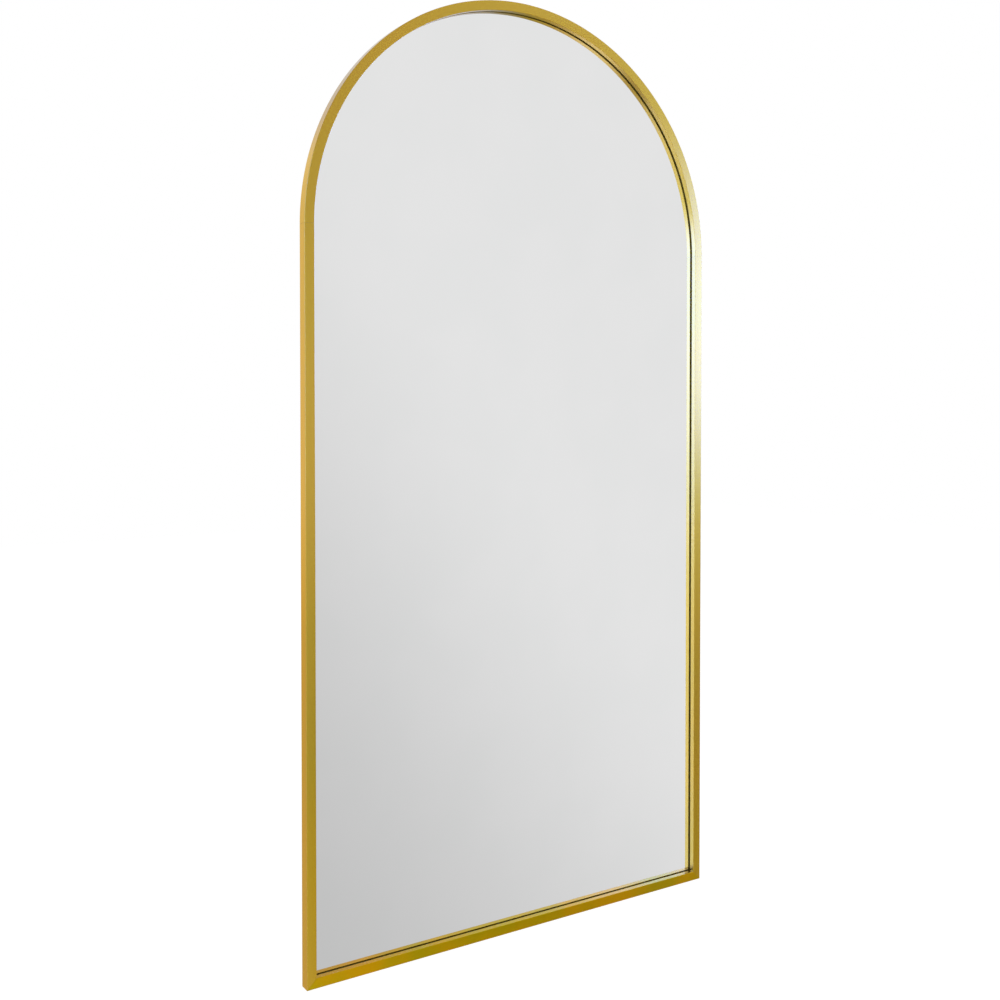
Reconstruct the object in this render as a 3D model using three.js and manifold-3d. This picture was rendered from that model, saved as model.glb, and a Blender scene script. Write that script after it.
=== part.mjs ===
// An arched floor mirror in a slim metal frame, with a fold-out stand and hanging rings behind.
//
// Millimetres. X runs across the mirror, Y from its front to its back and Z up. The origin is
// the middle of the frame's underside. The mirror stands upright with its stand folded flat.

import * as THREE from 'three';
import { mergeVertices } from 'three/addons/utils/BufferGeometryUtils.js';
import Module from 'manifold-3d';

const wasm = await Module();
wasm.setup();

// ---------------------------------------------------------------- driving dimensions

// The whole mirror: straight sides under a half-circle.
const MIRROR_WIDTH = 914;
const MIRROR_HEIGHT = 1800;
const ARCH_FACETS = 72;

// Fits.
const SEAT_GAP = 0.3; // between two faces that rest on each other
const HAIRLINE = 0.2; // between two lengths of frame at a mitre or splice
const HOLE_ROOM = 0.4; // round a screw in its hole, on the radius
const TURN_ROOM = 0.3; // round a pin or wire in the hole it turns in, on the radius

// Frame extrusion: a closed chamber in front, a rib with a screw groove behind.
const FACE_WIDTH = 18.3;
const LIP_DEPTH = 10.4;
const CHAMBER_WALL = 1.7;
const ARRIS = 0.5;
const OUTER_WALL = 3.4;
const INNER_WALL = 2.2;
const GROOVE_DEPTH = 7;

// Glazing, from the front of the stack to its back.
const GASKET_THICKNESS = 2.5;
const GASKET_SETBACK = 0.6; // of the gasket's edge behind the lip's edge
const GLASS_THICKNESS = 4;
const FILM_THICKNESS = 0.3;
const FILM_SETBACK = 1; // of the film's edge from the glass's edge
const BOARD_THICKNESS = 3;
const EDGE_ROOM = 1.5; // between the rib and the glass's edge

// Keys that join the lengths of frame, and their grub screws.
const CORNER_ARM = 48;
const SPLICE_ARM = 40;
const GRUB_RADIUS = 2;
const GRUB_LENGTH = 5;
const GRUB_SOCKET = 1.1;
const GRUB_PLACE = 33; // from the frame's corner

// Pan-head screws, all alike.
const SHANK_RADIUS = 1.1;
const SHANK_LENGTH = 7;
const HEAD_RADIUS = 2.9;
const HEAD_HEIGHT = 1.8;
const CROSS_LENGTH = 3;
const CROSS_WIDTH = 0.8;
const CROSS_DEPTH = 0.9;

// Clips that hold the board and glass forward.
const CLIP_LENGTH = 22;
const CLIP_WIDTH = 14;
const CLIP_THICKNESS = 1.2;
const CLIP_SETBACK = 1.2; // from the frame's outer edge
const SIDE_CLIP_HEIGHT = 750;
const BASE_CLIP_PLACE = 230; // either side of the middle
const ARCH_CLIP_ANGLE = 45; // degrees, from level

// Cross braces: square-cornered tubes whose front wall runs on as a tab at each end.
const BRACE_HEIGHT = 30;
const BRACE_DEPTH = 10;
const BRACE_WALL = 1.5;
const BRACE_SETBACK = 1.5; // of the tab's end from the frame's outer edge
const BRACE_TAB = 11;
const LOWER_BRACE_HEIGHT = 340;

// Fold-out stand: a bent tube with a lug in each top end, hung from two brackets.
const HINGE_HEIGHT = 1150;
const LEG_PLACE = 180; // either side of the middle
const TUBE_RADIUS = 8;
const TUBE_WALL = 1.5;
const TUBE_BEND = 60;
const TUBE_SIDES = 16;
const BEND_STEPS = 8;
const LUG_THICKNESS = 6;
const LUG_EYE = 7.5;
const LUG_REACH = 22; // from the pivot to the tube's top end
const SPIGOT_LENGTH = 24;
const COLLAR_THICKNESS = 3;
const LUG_FLAT = 0.85; // the lug's neck, as a share of its spigot
const RIVET_RADIUS = 3;
const RIVET_HEAD_RADIUS = 5;
const RIVET_HEAD_HEIGHT = 2;
const CHEEK_THICKNESS = 2.5;
const CHEEK_EYE = 8;
const BASE_PLATE_WIDTH = 46;
const BASE_PLATE_HEIGHT = 28;
const BASE_PLATE_THICKNESS = 2;
const BRACKET_SCREW_PLACE = 16; // either side of the leg
const LEG_ROOM = 2.5; // between the folded tube and the base plate
const FOOT_THICKNESS = 3;
const FOOT_LENGTH = 44;
const FOOT_PLACE = 80; // either side of the middle

// Hanging rings, each held by a strap with a curled end.
const RING_PLACE = 330; // either side of the middle
const RING_AXIS_RISE = 11; // above the upper brace's middle
const WIRE_RADIUS = 1.5;
const RING_HALF_WIDTH = 11;
const RING_CORNER = 3;
const RING_SIDE = 2;
const RING_SPLIT = 0.6; // between the wire's ends
const WIRE_SIDES = 10;
const STRAP_THICKNESS = 1.5;
const STRAP_WIDTH = 11;
const STRAP_TAIL = 4; // below its screw's middle

// Rubber heels on the floor behind the bottom rail, and bumpers for the wall.
const HEEL_PLACE = 340;
const HEEL_LENGTH = 52;
const HEEL_DEPTH = 14;
const HEEL_HEIGHT = 15;
const HEEL_CHAMFER = 5;
const HEEL_TONGUE = 5;
const BUMPER_PLACE = 170; // either side of the middle
const BUMPER_DROP = 150; // below the top
const BUMPER_RADIUS = 10;
const BUMPER_FACE = 6;
const BUMPER_HEIGHT = 12;

// ---------------------------------------------------------------- places that follow

const halfWidth = MIRROR_WIDTH / 2;
const springHeight = MIRROR_HEIGHT - halfWidth;
const grooveHalf = SHANK_RADIUS + HOLE_ROOM;
const groovePlace = OUTER_WALL + grooveHalf;
const ribWidth = groovePlace + grooveHalf + INNER_WALL;
const glassInset = ribWidth + EDGE_ROOM;

const gasketDepth = LIP_DEPTH + SEAT_GAP;
const glassDepth = gasketDepth + GASKET_THICKNESS + SEAT_GAP;
const filmDepth = glassDepth + GLASS_THICKNESS + SEAT_GAP;
const boardDepth = filmDepth + FILM_THICKNESS + SEAT_GAP;
const frameDepth = boardDepth + BOARD_THICKNESS + SEAT_GAP;
const frontY = -frameDepth / 2;
const rearY = frameDepth / 2;

const braceFrontY = rearY + SEAT_GAP;
const braceRearY = braceFrontY + BRACE_DEPTH;
const basePlateY = braceRearY + SEAT_GAP;
const hingeY = basePlateY + BASE_PLATE_THICKNESS + LEG_ROOM + TUBE_RADIUS;
const footRadius = TUBE_RADIUS + SEAT_GAP + FOOT_THICKNESS;
const legDrop = HINGE_HEIGHT - footRadius; // from the pivot to the stand's bottom bar
const cheekInside = LUG_THICKNESS / 2 + TURN_ROOM;
const ringDrop = RING_CORNER + RING_SIDE + RING_HALF_WIDTH;
const strapScrewDrop = ringDrop + WIRE_RADIUS + SEAT_GAP + HEAD_RADIUS;
const curlRadius = WIRE_RADIUS + TURN_ROOM + STRAP_THICKNESS;

// ---------------------------------------------------------------- finishes

/** A plain metal or other finish. */
function finish(color, roughness, metalness) {
  return new THREE.MeshStandardMaterial({ color, roughness, metalness });
}

const goldFinish = finish(0xc79a35, 0.32, 1);
const silverFinish = finish(0xe4e6e6, 0.03, 1);
const gasketFinish = finish(0x1c1a17, 0.7, 0);
const filmFinish = finish(0x8f9498, 0.5, 0);
const boardFinish = finish(0x6f5237, 0.85, 0);
const braceFinish = finish(0xb9bcbf, 0.42, 1);
const standFinish = finish(0x1b1b1c, 0.48, 0.3);
const steelFinish = finish(0xa9adb1, 0.3, 1);
const rubberFinish = finish(0x1a1a1a, 0.8, 0);

// ---------------------------------------------------------------- solids

/** The geometry's closed solid, with its shared points merged and its faces turned outward. */
function solidOf(geometry) {
  const bare = geometry.clone();
  bare.deleteAttribute('normal');
  bare.deleteAttribute('uv');
  const merged = mergeVertices(bare, 1e-4);
  const points = merged.getAttribute('position').array;
  const corners = merged.index.array;
  const a = new THREE.Vector3();
  const b = new THREE.Vector3();
  const c = new THREE.Vector3();
  const kept = [];
  let volume = 0;
  for (let i = 0; i < corners.length; i += 3) {
    const [p, q, r] = [corners[i], corners[i + 1], corners[i + 2]];
    if (p === q || q === r || r === p) continue;
    kept.push(p, q, r);
    a.fromArray(points, 3 * p);
    b.fromArray(points, 3 * q);
    c.fromArray(points, 3 * r);
    volume += a.dot(b.cross(c));
  }
  if (volume < 0) kept.reverse();
  return new wasm.Manifold(new wasm.Mesh({
    numProp: 3,
    vertProperties: new Float32Array(points),
    triVerts: new Uint32Array(kept),
  }));
}

/** The geometry of a solid, ready for a mesh. */
function geometryOf(solid) {
  const { vertProperties, triVerts } = solid.getMesh();
  const geometry = new THREE.BufferGeometry();
  geometry.setAttribute('position', new THREE.BufferAttribute(vertProperties, 3));
  geometry.setIndex(new THREE.BufferAttribute(triVerts, 1));
  geometry.computeVertexNormals();
  return geometry;
}

/** A box between two opposite corners. */
function block(low, high) {
  const size = high.map((value, i) => value - low[i]);
  const middle = high.map((value, i) => (value + low[i]) / 2);
  return solidOf(new THREE.BoxGeometry(...size).translate(...middle));
}

/** A round bar along 'x', 'y' or 'z', from one place on that axis to another. */
function bar(axis, radius, from, to, sides = 20) {
  const geometry = new THREE.CylinderGeometry(radius, radius, to - from, sides);
  geometry.translate(0, (from + to) / 2, 0);
  if (axis === 'x') geometry.rotateZ(-Math.PI / 2);
  if (axis === 'z') geometry.rotateX(Math.PI / 2);
  return solidOf(geometry);
}

/** A shape drawn in the X-Z plane, with its thickness running back from frontFace. */
function plateOf(shape, frontFace, thickness, curveSegments = 12) {
  const geometry = new THREE.ExtrudeGeometry(shape, { depth: thickness, bevelEnabled: false, curveSegments });
  geometry.rotateX(Math.PI / 2).translate(0, frontFace + thickness, 0);
  return solidOf(geometry);
}

/** A shape drawn in the Y-Z plane, drawn out along X from one place to another. */
function drawnAlongX(shape, from, to, curveSegments = 12) {
  const geometry = new THREE.ExtrudeGeometry(shape, { depth: to - from, bevelEnabled: false, curveSegments });
  const turn = new THREE.Matrix4().makeBasis(
    new THREE.Vector3(0, 1, 0),
    new THREE.Vector3(0, 0, 1),
    new THREE.Vector3(1, 0, 0),
  );
  geometry.applyMatrix4(turn).translate(from, 0, 0);
  return solidOf(geometry);
}

/** What is left of a solid on the far side of the plane through place, away from normal. */
function trimmed(solid, place, normal) {
  const size = 4 * (MIRROR_HEIGHT + MIRROR_WIDTH);
  const cutter = new THREE.BoxGeometry(size, size, size).translate(0, 0, size / 2);
  const facing = new THREE.Vector3(...normal).normalize();
  cutter.applyQuaternion(new THREE.Quaternion().setFromUnitVectors(new THREE.Vector3(0, 0, 1), facing));
  cutter.translate(...place);
  return solid.subtract(solidOf(cutter));
}

/** A line made of straight runs and arcs, sampled at stations chosen where it bends. */
class StationLine extends THREE.Curve {
  constructor() {
    super();
    this.stations = [];
  }

  /** Adds a station at a point, heading along a tangent. */
  add(point, tangent) {
    this.stations.push({ point, tangent: tangent.clone().normalize() });
    return this;
  }

  /** Adds an arc in the X-Z plane about a centre, between two angles in radians. */
  addArc(centreX, centreZ, radius, fromAngle, toAngle, steps) {
    const way = Math.sign(toAngle - fromAngle);
    for (let i = 0; i <= steps; i += 1) {
      const angle = fromAngle + ((toAngle - fromAngle) * i) / steps;
      const [c, s] = [Math.cos(angle), Math.sin(angle)];
      this.add(
        new THREE.Vector3(centreX + radius * c, 0, centreZ + radius * s),
        new THREE.Vector3(-way * s, 0, way * c),
      );
    }
    return this;
  }

  stationAt(t) {
    return this.stations[Math.round(t * (this.stations.length - 1))];
  }

  getPoint(t) {
    return this.stationAt(t).point.clone();
  }

  getPointAt(t) {
    return this.getPoint(t);
  }

  getTangent(t) {
    return this.stationAt(t).tangent.clone();
  }

  getTangentAt(t) {
    return this.getTangent(t);
  }
}

/** A round wire or rod of one radius along a StationLine. */
function rodAlong(line, radius, sides) {
  const section = new THREE.Shape();
  for (let i = 0; i < sides; i += 1) {
    const angle = (2 * Math.PI * i) / sides;
    const [x, y] = [radius * Math.cos(angle), radius * Math.sin(angle)];
    if (i === 0) section.moveTo(x, y);
    else section.lineTo(x, y);
  }
  section.closePath();
  return solidOf(new THREE.ExtrudeGeometry(section, {
    steps: line.stations.length - 1,
    extrudePath: line,
    bevelEnabled: false,
  }));
}

// ---------------------------------------------------------------- the assembly

const assembly = new THREE.Group();

/** Adds a named piece to a group, made of a solid. */
function addPiece(group, name, solid, material) {
  const mesh = new THREE.Mesh(geometryOf(solid), material);
  mesh.name = name;
  group.add(mesh);
  return mesh;
}

/** A group standing at a place, turned about Y by an angle in radians. */
function groupAt(parent, x, y, z, turnY = 0) {
  const group = new THREE.Group();
  group.position.set(x, y, z);
  group.rotation.y = turnY;
  parent.add(group);
  return group;
}

const sides = [
  { name: 'left', sign: -1 },
  { name: 'right', sign: 1 },
];

// ---------------------------------------------------------------- fasteners

/** A pan-head screw with a cross recess. It points to -Y, with the seat of its head at Y = 0. */
function screwSolid() {
  const profile = [
    [0, -SHANK_LENGTH],
    [SHANK_RADIUS, -SHANK_LENGTH + 2 * SHANK_RADIUS],
    [SHANK_RADIUS, 0],
    [HEAD_RADIUS, 0],
    [HEAD_RADIUS, HEAD_HEIGHT * 0.45],
    [HEAD_RADIUS * 0.72, HEAD_HEIGHT],
    [0, HEAD_HEIGHT],
  ].map(([radius, y]) => new THREE.Vector2(radius, y));
  const screw = solidOf(new THREE.LatheGeometry(profile, 10));
  const floor = HEAD_HEIGHT - CROSS_DEPTH;
  const [long, half] = [CROSS_LENGTH / 2, CROSS_WIDTH / 2];
  const across = block([-long, floor, -half], [long, HEAD_HEIGHT + 1, half]);
  const upright = block([-half, floor, -long], [half, HEAD_HEIGHT + 1, long]);
  return screw.subtract(across.add(upright));
}

const screw = screwSolid();

/** Adds a screw whose head seats on the face at seatY. */
function addScrew(group, name, x, seatY, z) {
  addPiece(group, name, screw, steelFinish).position.set(x, seatY + SEAT_GAP, z);
}

/** The hole that a screw passes through, between two places along Y. */
function screwHole(x, fromY, toY, z) {
  return bar('y', SHANK_RADIUS + HOLE_ROOM, fromY, toY, 16).translate([x, 0, z]);
}

// ---------------------------------------------------------------- frame

/** The extrusion's outline: how far in from the outer edge, how far back from the front. */
function extrusionOutline() {
  const grooveFloor = frameDepth - GROOVE_DEPTH;
  return [
    [ARRIS, 0],
    [FACE_WIDTH - ARRIS, 0],
    [FACE_WIDTH, ARRIS],
    [FACE_WIDTH, LIP_DEPTH],
    [ribWidth, LIP_DEPTH],
    [ribWidth, frameDepth],
    [groovePlace + grooveHalf, frameDepth],
    [groovePlace + grooveHalf, grooveFloor],
    [groovePlace - grooveHalf, grooveFloor],
    [groovePlace - grooveHalf, frameDepth],
    [0, frameDepth],
    [0, ARRIS],
  ];
}

/** The outline of the chamber inside the extrusion's front. */
function chamberOutline() {
  const [near, far] = [CHAMBER_WALL, FACE_WIDTH - CHAMBER_WALL];
  const back = LIP_DEPTH - CHAMBER_WALL;
  return [
    [near, near],
    [far, near],
    [far, back],
    [near, back],
  ];
}

/** A path through points. */
function pathThrough(points, Kind = THREE.Shape) {
  const path = new Kind();
  points.forEach(([x, y], i) => (i === 0 ? path.moveTo(x, y) : path.lineTo(x, y)));
  path.closePath();
  return path;
}

/** A straight length of extrusion, standing along Z from 0, with its outer edge on X = 0. */
function straightLength(length) {
  const place = ([inward, back]) => [inward, frontY + back];
  const section = pathThrough(extrusionOutline().map(place));
  section.holes.push(pathThrough(chamberOutline().map(place), THREE.Path));
  return new THREE.ExtrudeGeometry(section, { depth: length, bevelEnabled: false });
}

/** A full ring turned from an outline of the extrusion, about the Y axis. */
function ringOf(outline) {
  const profile = outline.map(([inward, back]) => new THREE.Vector2(halfWidth - inward, frontY + back));
  profile.push(profile[0].clone());
  return solidOf(new THREE.LatheGeometry(profile, 2 * ARCH_FACETS));
}

/** A grub screw's hole from the back of the chamber to a depth behind the frame's front. */
function grubHole(x, z, toDepth) {
  const radius = GRUB_RADIUS + HOLE_ROOM;
  return bar('y', radius, frontY + toDepth, frontY + LIP_DEPTH + 1, 16).translate([x, 0, z]);
}

/** The middles of one corner's two grub screws, on the stile and on the rail. */
function grubPlaces(sign) {
  const middle = FACE_WIDTH / 2;
  return [
    { on: 'stile', x: sign * (halfWidth - middle), z: GRUB_PLACE },
    { on: 'rail', x: sign * (halfWidth - GRUB_PLACE), z: middle },
  ];
}

/** One side's mitre: a plane through the frame's corner, moved off it by half a hairline. */
function mitred(solid, sign, facing) {
  const place = [sign * halfWidth, 0, facing * (HAIRLINE / 2) * Math.SQRT2];
  return trimmed(solid, place, [-facing * sign, 0, -facing]);
}

function buildFrame() {
  const chamberBack = LIP_DEPTH - CHAMBER_WALL;
  const arch = ringOf(extrusionOutline()).subtract(ringOf(chamberOutline()));
  const halfArch = trimmed(arch, [0, 0, HAIRLINE / 2], [0, 0, -1]);
  addPiece(groupAt(assembly, 0, 0, springHeight), 'frame_arch', halfArch, goldFinish);

  let rail = solidOf(straightLength(MIRROR_WIDTH).rotateY(Math.PI / 2).scale(1, 1, -1)
    .translate(-halfWidth, 0, 0));
  for (const { name, sign } of sides) {
    const [stileGrub, railGrub] = grubPlaces(sign);
    const upright = straightLength(springHeight - HAIRLINE / 2);
    upright.scale(-sign, 1, 1).translate(sign * halfWidth, 0, 0);
    const stile = mitred(solidOf(upright), sign, 1)
      .subtract(grubHole(stileGrub.x, stileGrub.z, chamberBack - 1));
    addPiece(assembly, `frame_${name}_stile`, stile, goldFinish);
    rail = mitred(rail, sign, -1).subtract(grubHole(railGrub.x, railGrub.z, chamberBack - 1));
  }
  addPiece(assembly, 'frame_bottom_rail', rail, goldFinish);
}

/** Keys inside the chambers, at the mitred corners and where the arch meets the stiles. */
function buildKeys() {
  const near = CHAMBER_WALL + SEAT_GAP;
  const far = FACE_WIDTH - near;
  const keyFront = frontY + near;
  const keyDepth = LIP_DEPTH - 2 * near;
  const grubTip = LIP_DEPTH - GRUB_LENGTH;
  for (const { name, sign } of sides) {
    const corner = pathThrough([
      [sign * (halfWidth - near), near],
      [sign * (halfWidth - near), CORNER_ARM],
      [sign * (halfWidth - far), CORNER_ARM],
      [sign * (halfWidth - far), far],
      [sign * (halfWidth - CORNER_ARM), far],
      [sign * (halfWidth - CORNER_ARM), near],
    ]);
    let key = plateOf(corner, keyFront, keyDepth);
    for (const { on, x, z } of grubPlaces(sign)) {
      key = key.subtract(grubHole(x, z, grubTip - SEAT_GAP));
      const grub = bar('y', GRUB_RADIUS, frontY + grubTip, frontY + LIP_DEPTH, 12);
      const socket = bar('y', GRUB_SOCKET, frontY + LIP_DEPTH - GRUB_LENGTH / 2, frontY + LIP_DEPTH + 1, 6);
      const piece = addPiece(assembly, `key_screw_${name}_${on}`, grub.subtract(socket), steelFinish);
      piece.position.set(x, 0, z);
    }
    addPiece(assembly, `corner_key_${name}`, key, braceFinish);

    const turn = SPLICE_ARM / halfWidth;
    const [outer, inner] = [halfWidth - near, halfWidth - far];
    const splice = new THREE.Shape();
    splice.moveTo(outer, springHeight - SPLICE_ARM);
    splice.lineTo(outer, springHeight);
    splice.absarc(0, springHeight, outer, 0, turn, false);
    splice.lineTo(inner * Math.cos(turn), springHeight + inner * Math.sin(turn));
    splice.absarc(0, springHeight, inner, turn, 0, true);
    splice.lineTo(inner, springHeight - SPLICE_ARM);
    splice.closePath();
    const bent = plateOf(splice, keyFront, keyDepth, 2);
    addPiece(assembly, `splice_key_${name}`, sign < 0 ? bent.mirror([1, 0, 0]) : bent, braceFinish);
  }
}

// ---------------------------------------------------------------- glazing

/** The mirror's outline, drawn a distance in from the frame's outer edge. */
function archOutline(inset, Kind = THREE.Shape) {
  const half = halfWidth - inset;
  const outline = new Kind();
  outline.moveTo(-half, inset);
  outline.lineTo(half, inset);
  outline.lineTo(half, springHeight);
  outline.absarc(0, springHeight, half, 0, Math.PI, false);
  outline.closePath();
  return outline;
}

function buildGlazing() {
  const sheet = (shape, depth, thickness) => plateOf(shape, frontY + depth, thickness, ARCH_FACETS / 2);
  const gasket = archOutline(glassInset);
  gasket.holes.push(archOutline(FACE_WIDTH - GASKET_SETBACK, THREE.Path));
  addPiece(assembly, 'glazing_gasket', sheet(gasket, gasketDepth, GASKET_THICKNESS), gasketFinish);
  const glass = archOutline(glassInset);
  addPiece(assembly, 'mirror_glass', sheet(glass, glassDepth, GLASS_THICKNESS), silverFinish);
  const film = archOutline(glassInset + FILM_SETBACK);
  addPiece(assembly, 'safety_film', sheet(film, filmDepth, FILM_THICKNESS), filmFinish);
  const board = archOutline(glassInset);
  addPiece(assembly, 'backing_board', sheet(board, boardDepth, BOARD_THICKNESS), boardFinish);
}

/** A rounded plate in the X-Z plane between two places on X, centred on Z = 0. */
function roundedPlate(from, to, height, corner) {
  const half = height / 2;
  const shape = new THREE.Shape();
  shape.moveTo(from + corner, -half);
  shape.lineTo(to - corner, -half);
  shape.absarc(to - corner, -half + corner, corner, -Math.PI / 2, 0, false);
  shape.absarc(to - corner, half - corner, corner, 0, Math.PI / 2, false);
  shape.absarc(from + corner, half - corner, corner, Math.PI / 2, Math.PI, false);
  shape.absarc(from + corner, -half + corner, corner, Math.PI, 1.5 * Math.PI, false);
  shape.closePath();
  return shape;
}

/** A retaining clip and its screw, at a place on the frame's outer edge. */
function addClip(name, x, z, turnY) {
  const group = groupAt(assembly, x, 0, z, turnY);
  const outline = roundedPlate(CLIP_SETBACK, CLIP_SETBACK + CLIP_LENGTH, CLIP_WIDTH, 3);
  const clipFront = rearY + SEAT_GAP;
  const clip = plateOf(outline, clipFront, CLIP_THICKNESS, 2)
    .subtract(screwHole(groovePlace, clipFront - 1, clipFront + CLIP_THICKNESS + 1, 0));
  addPiece(group, `clip_${name}`, clip, steelFinish);
  addScrew(group, `clip_screw_${name}`, groovePlace, clipFront + CLIP_THICKNESS, 0);
}

function buildClips() {
  const angle = THREE.MathUtils.degToRad(ARCH_CLIP_ANGLE);
  for (const { name, sign } of sides) {
    const outward = sign < 0 ? Math.PI - angle : angle;
    const archX = halfWidth * Math.cos(outward);
    const archZ = springHeight + halfWidth * Math.sin(outward);
    addClip(`side_${name}`, sign * halfWidth, SIDE_CLIP_HEIGHT, sign < 0 ? 0 : Math.PI);
    addClip(`base_${name}`, sign * BASE_CLIP_PLACE, 0, -Math.PI / 2);
    addClip(`arch_${name}`, archX, archZ, Math.PI - outward);
  }
}

// ---------------------------------------------------------------- braces

/** A cross brace and its end screws. Its rear wall is drilled at each of rearHoles, [x, z]. */
function addBrace(name, height, rearHoles) {
  const group = groupAt(assembly, 0, 0, height);
  const tabEnd = halfWidth - BRACE_SETBACK;
  const tubeEnd = tabEnd - BRACE_TAB;
  const half = BRACE_HEIGHT / 2;
  const hollow = half - BRACE_WALL;
  const outer = block([-tubeEnd, braceFrontY, -half], [tubeEnd, braceRearY, half]);
  const inner = block(
    [-tubeEnd - 1, braceFrontY + BRACE_WALL, -hollow],
    [tubeEnd + 1, braceRearY - BRACE_WALL, hollow],
  );
  const tabs = block([-tabEnd, braceFrontY, -half], [tabEnd, braceFrontY + BRACE_WALL, half]);
  let brace = outer.subtract(inner).add(tabs);
  for (const [x, z] of rearHoles) {
    brace = brace.subtract(screwHole(x, braceRearY - BRACE_WALL - 1, braceRearY + 1, z));
  }
  for (const { name: side, sign } of sides) {
    const x = sign * (halfWidth - groovePlace);
    brace = brace.subtract(screwHole(x, braceFrontY - 1, braceFrontY + BRACE_WALL + 1, 0));
    addScrew(group, `${name}_screw_${side}`, x, braceFrontY + BRACE_WALL, 0);
  }
  addPiece(group, name, brace, braceFinish);
}

function buildBraces() {
  const holes = [];
  for (const { sign } of sides) {
    holes.push([sign * LEG_PLACE - BRACKET_SCREW_PLACE, 0]);
    holes.push([sign * LEG_PLACE + BRACKET_SCREW_PLACE, 0]);
    holes.push([sign * RING_PLACE, RING_AXIS_RISE - strapScrewDrop]);
  }
  addBrace('upper_brace', HINGE_HEIGHT, holes);
  addBrace('lower_brace', LOWER_BRACE_HEIGHT, []);
}

// ---------------------------------------------------------------- stand

/** An eye in the Y-Z plane: a round end about (eyeY, 0), with straight sides back to fromY. */
function eyeShape(fromY, eyeY, radius) {
  const shape = new THREE.Shape();
  shape.moveTo(fromY, -radius);
  shape.lineTo(eyeY, -radius);
  shape.absarc(eyeY, 0, radius, -Math.PI / 2, Math.PI / 2, false);
  shape.lineTo(fromY, radius);
  shape.closePath();
  return shape;
}

/** One hinge bracket with its rivet and screws, over a leg. */
function addHinge(side, x) {
  const group = groupAt(assembly, x, 0, HINGE_HEIGHT);
  const plateRear = basePlateY + BASE_PLATE_THICKNESS;
  const halfPlate = BASE_PLATE_WIDTH / 2;
  const plate = roundedPlate(-halfPlate, halfPlate, BASE_PLATE_HEIGHT, 4);
  const cheekOutside = cheekInside + CHEEK_THICKNESS;
  const cheek = eyeShape(basePlateY + BASE_PLATE_THICKNESS / 2, hingeY, CHEEK_EYE);
  let bracket = plateOf(plate, basePlateY, BASE_PLATE_THICKNESS, 2)
    .add(drawnAlongX(cheek, -cheekOutside, -cheekInside, 6))
    .add(drawnAlongX(cheek, cheekInside, cheekOutside, 6));
  const pinHole = bar('x', RIVET_RADIUS + TURN_ROOM, -cheekOutside - 1, cheekOutside + 1, 16);
  bracket = bracket.subtract(pinHole.translate([0, hingeY, 0]));
  for (const { name: way, sign } of sides) {
    const place = sign * BRACKET_SCREW_PLACE;
    bracket = bracket.subtract(screwHole(place, basePlateY - 1, plateRear + 1, 0));
    addScrew(group, `hinge_screw_${side}_${way === 'left' ? 'a' : 'b'}`, place, plateRear, 0);
  }
  addPiece(group, `hinge_bracket_${side}`, bracket, steelFinish);

  const shankEnd = cheekOutside + SEAT_GAP;
  const headEnd = shankEnd + RIVET_HEAD_HEIGHT;
  const rivet = bar('x', RIVET_RADIUS, -headEnd, headEnd, 16)
    .add(bar('x', RIVET_HEAD_RADIUS, -headEnd, -shankEnd, 16))
    .add(bar('x', RIVET_HEAD_RADIUS, shankEnd, headEnd, 16));
  addPiece(group, `hinge_rivet_${side}`, rivet, steelFinish).position.y = hingeY;
}

/** The bent tube's centre line: down the left leg, across the bottom bar, up the right leg. */
function standLine(extraLength) {
  const down = new THREE.Vector3(0, 0, -1);
  const up = new THREE.Vector3(0, 0, 1);
  const bendTop = TUBE_BEND - legDrop;
  const bendSide = LEG_PLACE - TUBE_BEND;
  const top = extraLength - LUG_REACH;
  return new StationLine()
    .add(new THREE.Vector3(-LEG_PLACE, 0, top), down)
    .addArc(-bendSide, bendTop, TUBE_BEND, Math.PI, 1.5 * Math.PI, BEND_STEPS)
    .addArc(bendSide, bendTop, TUBE_BEND, 1.5 * Math.PI, 2 * Math.PI, BEND_STEPS)
    .add(new THREE.Vector3(LEG_PLACE, 0, top), up);
}

/** The lug in a leg's top end: an eye, a collar on the tube's end and a spigot in its bore. */
function lugSolid() {
  const half = LUG_THICKNESS / 2;
  const spigotRadius = TUBE_RADIUS - TUBE_WALL - SEAT_GAP;
  const collar = SEAT_GAP - LUG_REACH;
  const flat = spigotRadius * LUG_FLAT;
  return bar('x', LUG_EYE, -half, half)
    .add(block([-half, -flat, collar], [half, flat, 0]))
    .add(bar('z', TUBE_RADIUS, collar, collar + COLLAR_THICKNESS))
    .add(bar('z', spigotRadius, -LUG_REACH - SPIGOT_LENGTH, collar + COLLAR_THICKNESS / 2, 16))
    .subtract(bar('x', RIVET_RADIUS + TURN_ROOM, -half - 1, half + 1, 16));
}

function buildStand() {
  const stand = groupAt(assembly, 0, hingeY, HINGE_HEIGHT);
  const outside = rodAlong(standLine(0), TUBE_RADIUS, TUBE_SIDES);
  const bore = rodAlong(standLine(1), TUBE_RADIUS - TUBE_WALL, TUBE_SIDES);
  addPiece(stand, 'stand_tube', outside.subtract(bore), standFinish);
  const lug = lugSolid();
  const footOuter = bar('x', footRadius, -FOOT_LENGTH / 2, FOOT_LENGTH / 2);
  const footBore = bar('x', TUBE_RADIUS + SEAT_GAP, -FOOT_LENGTH, FOOT_LENGTH);
  const foot = footOuter.subtract(footBore);
  for (const { name, sign } of sides) {
    addHinge(name, sign * LEG_PLACE);
    addPiece(stand, `stand_lug_${name}`, lug, steelFinish).position.x = sign * LEG_PLACE;
    const pad = addPiece(stand, `stand_foot_${name}`, foot, rubberFinish);
    pad.position.set(sign * FOOT_PLACE, 0, -legDrop);
  }
}

// ---------------------------------------------------------------- hanging rings

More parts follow.
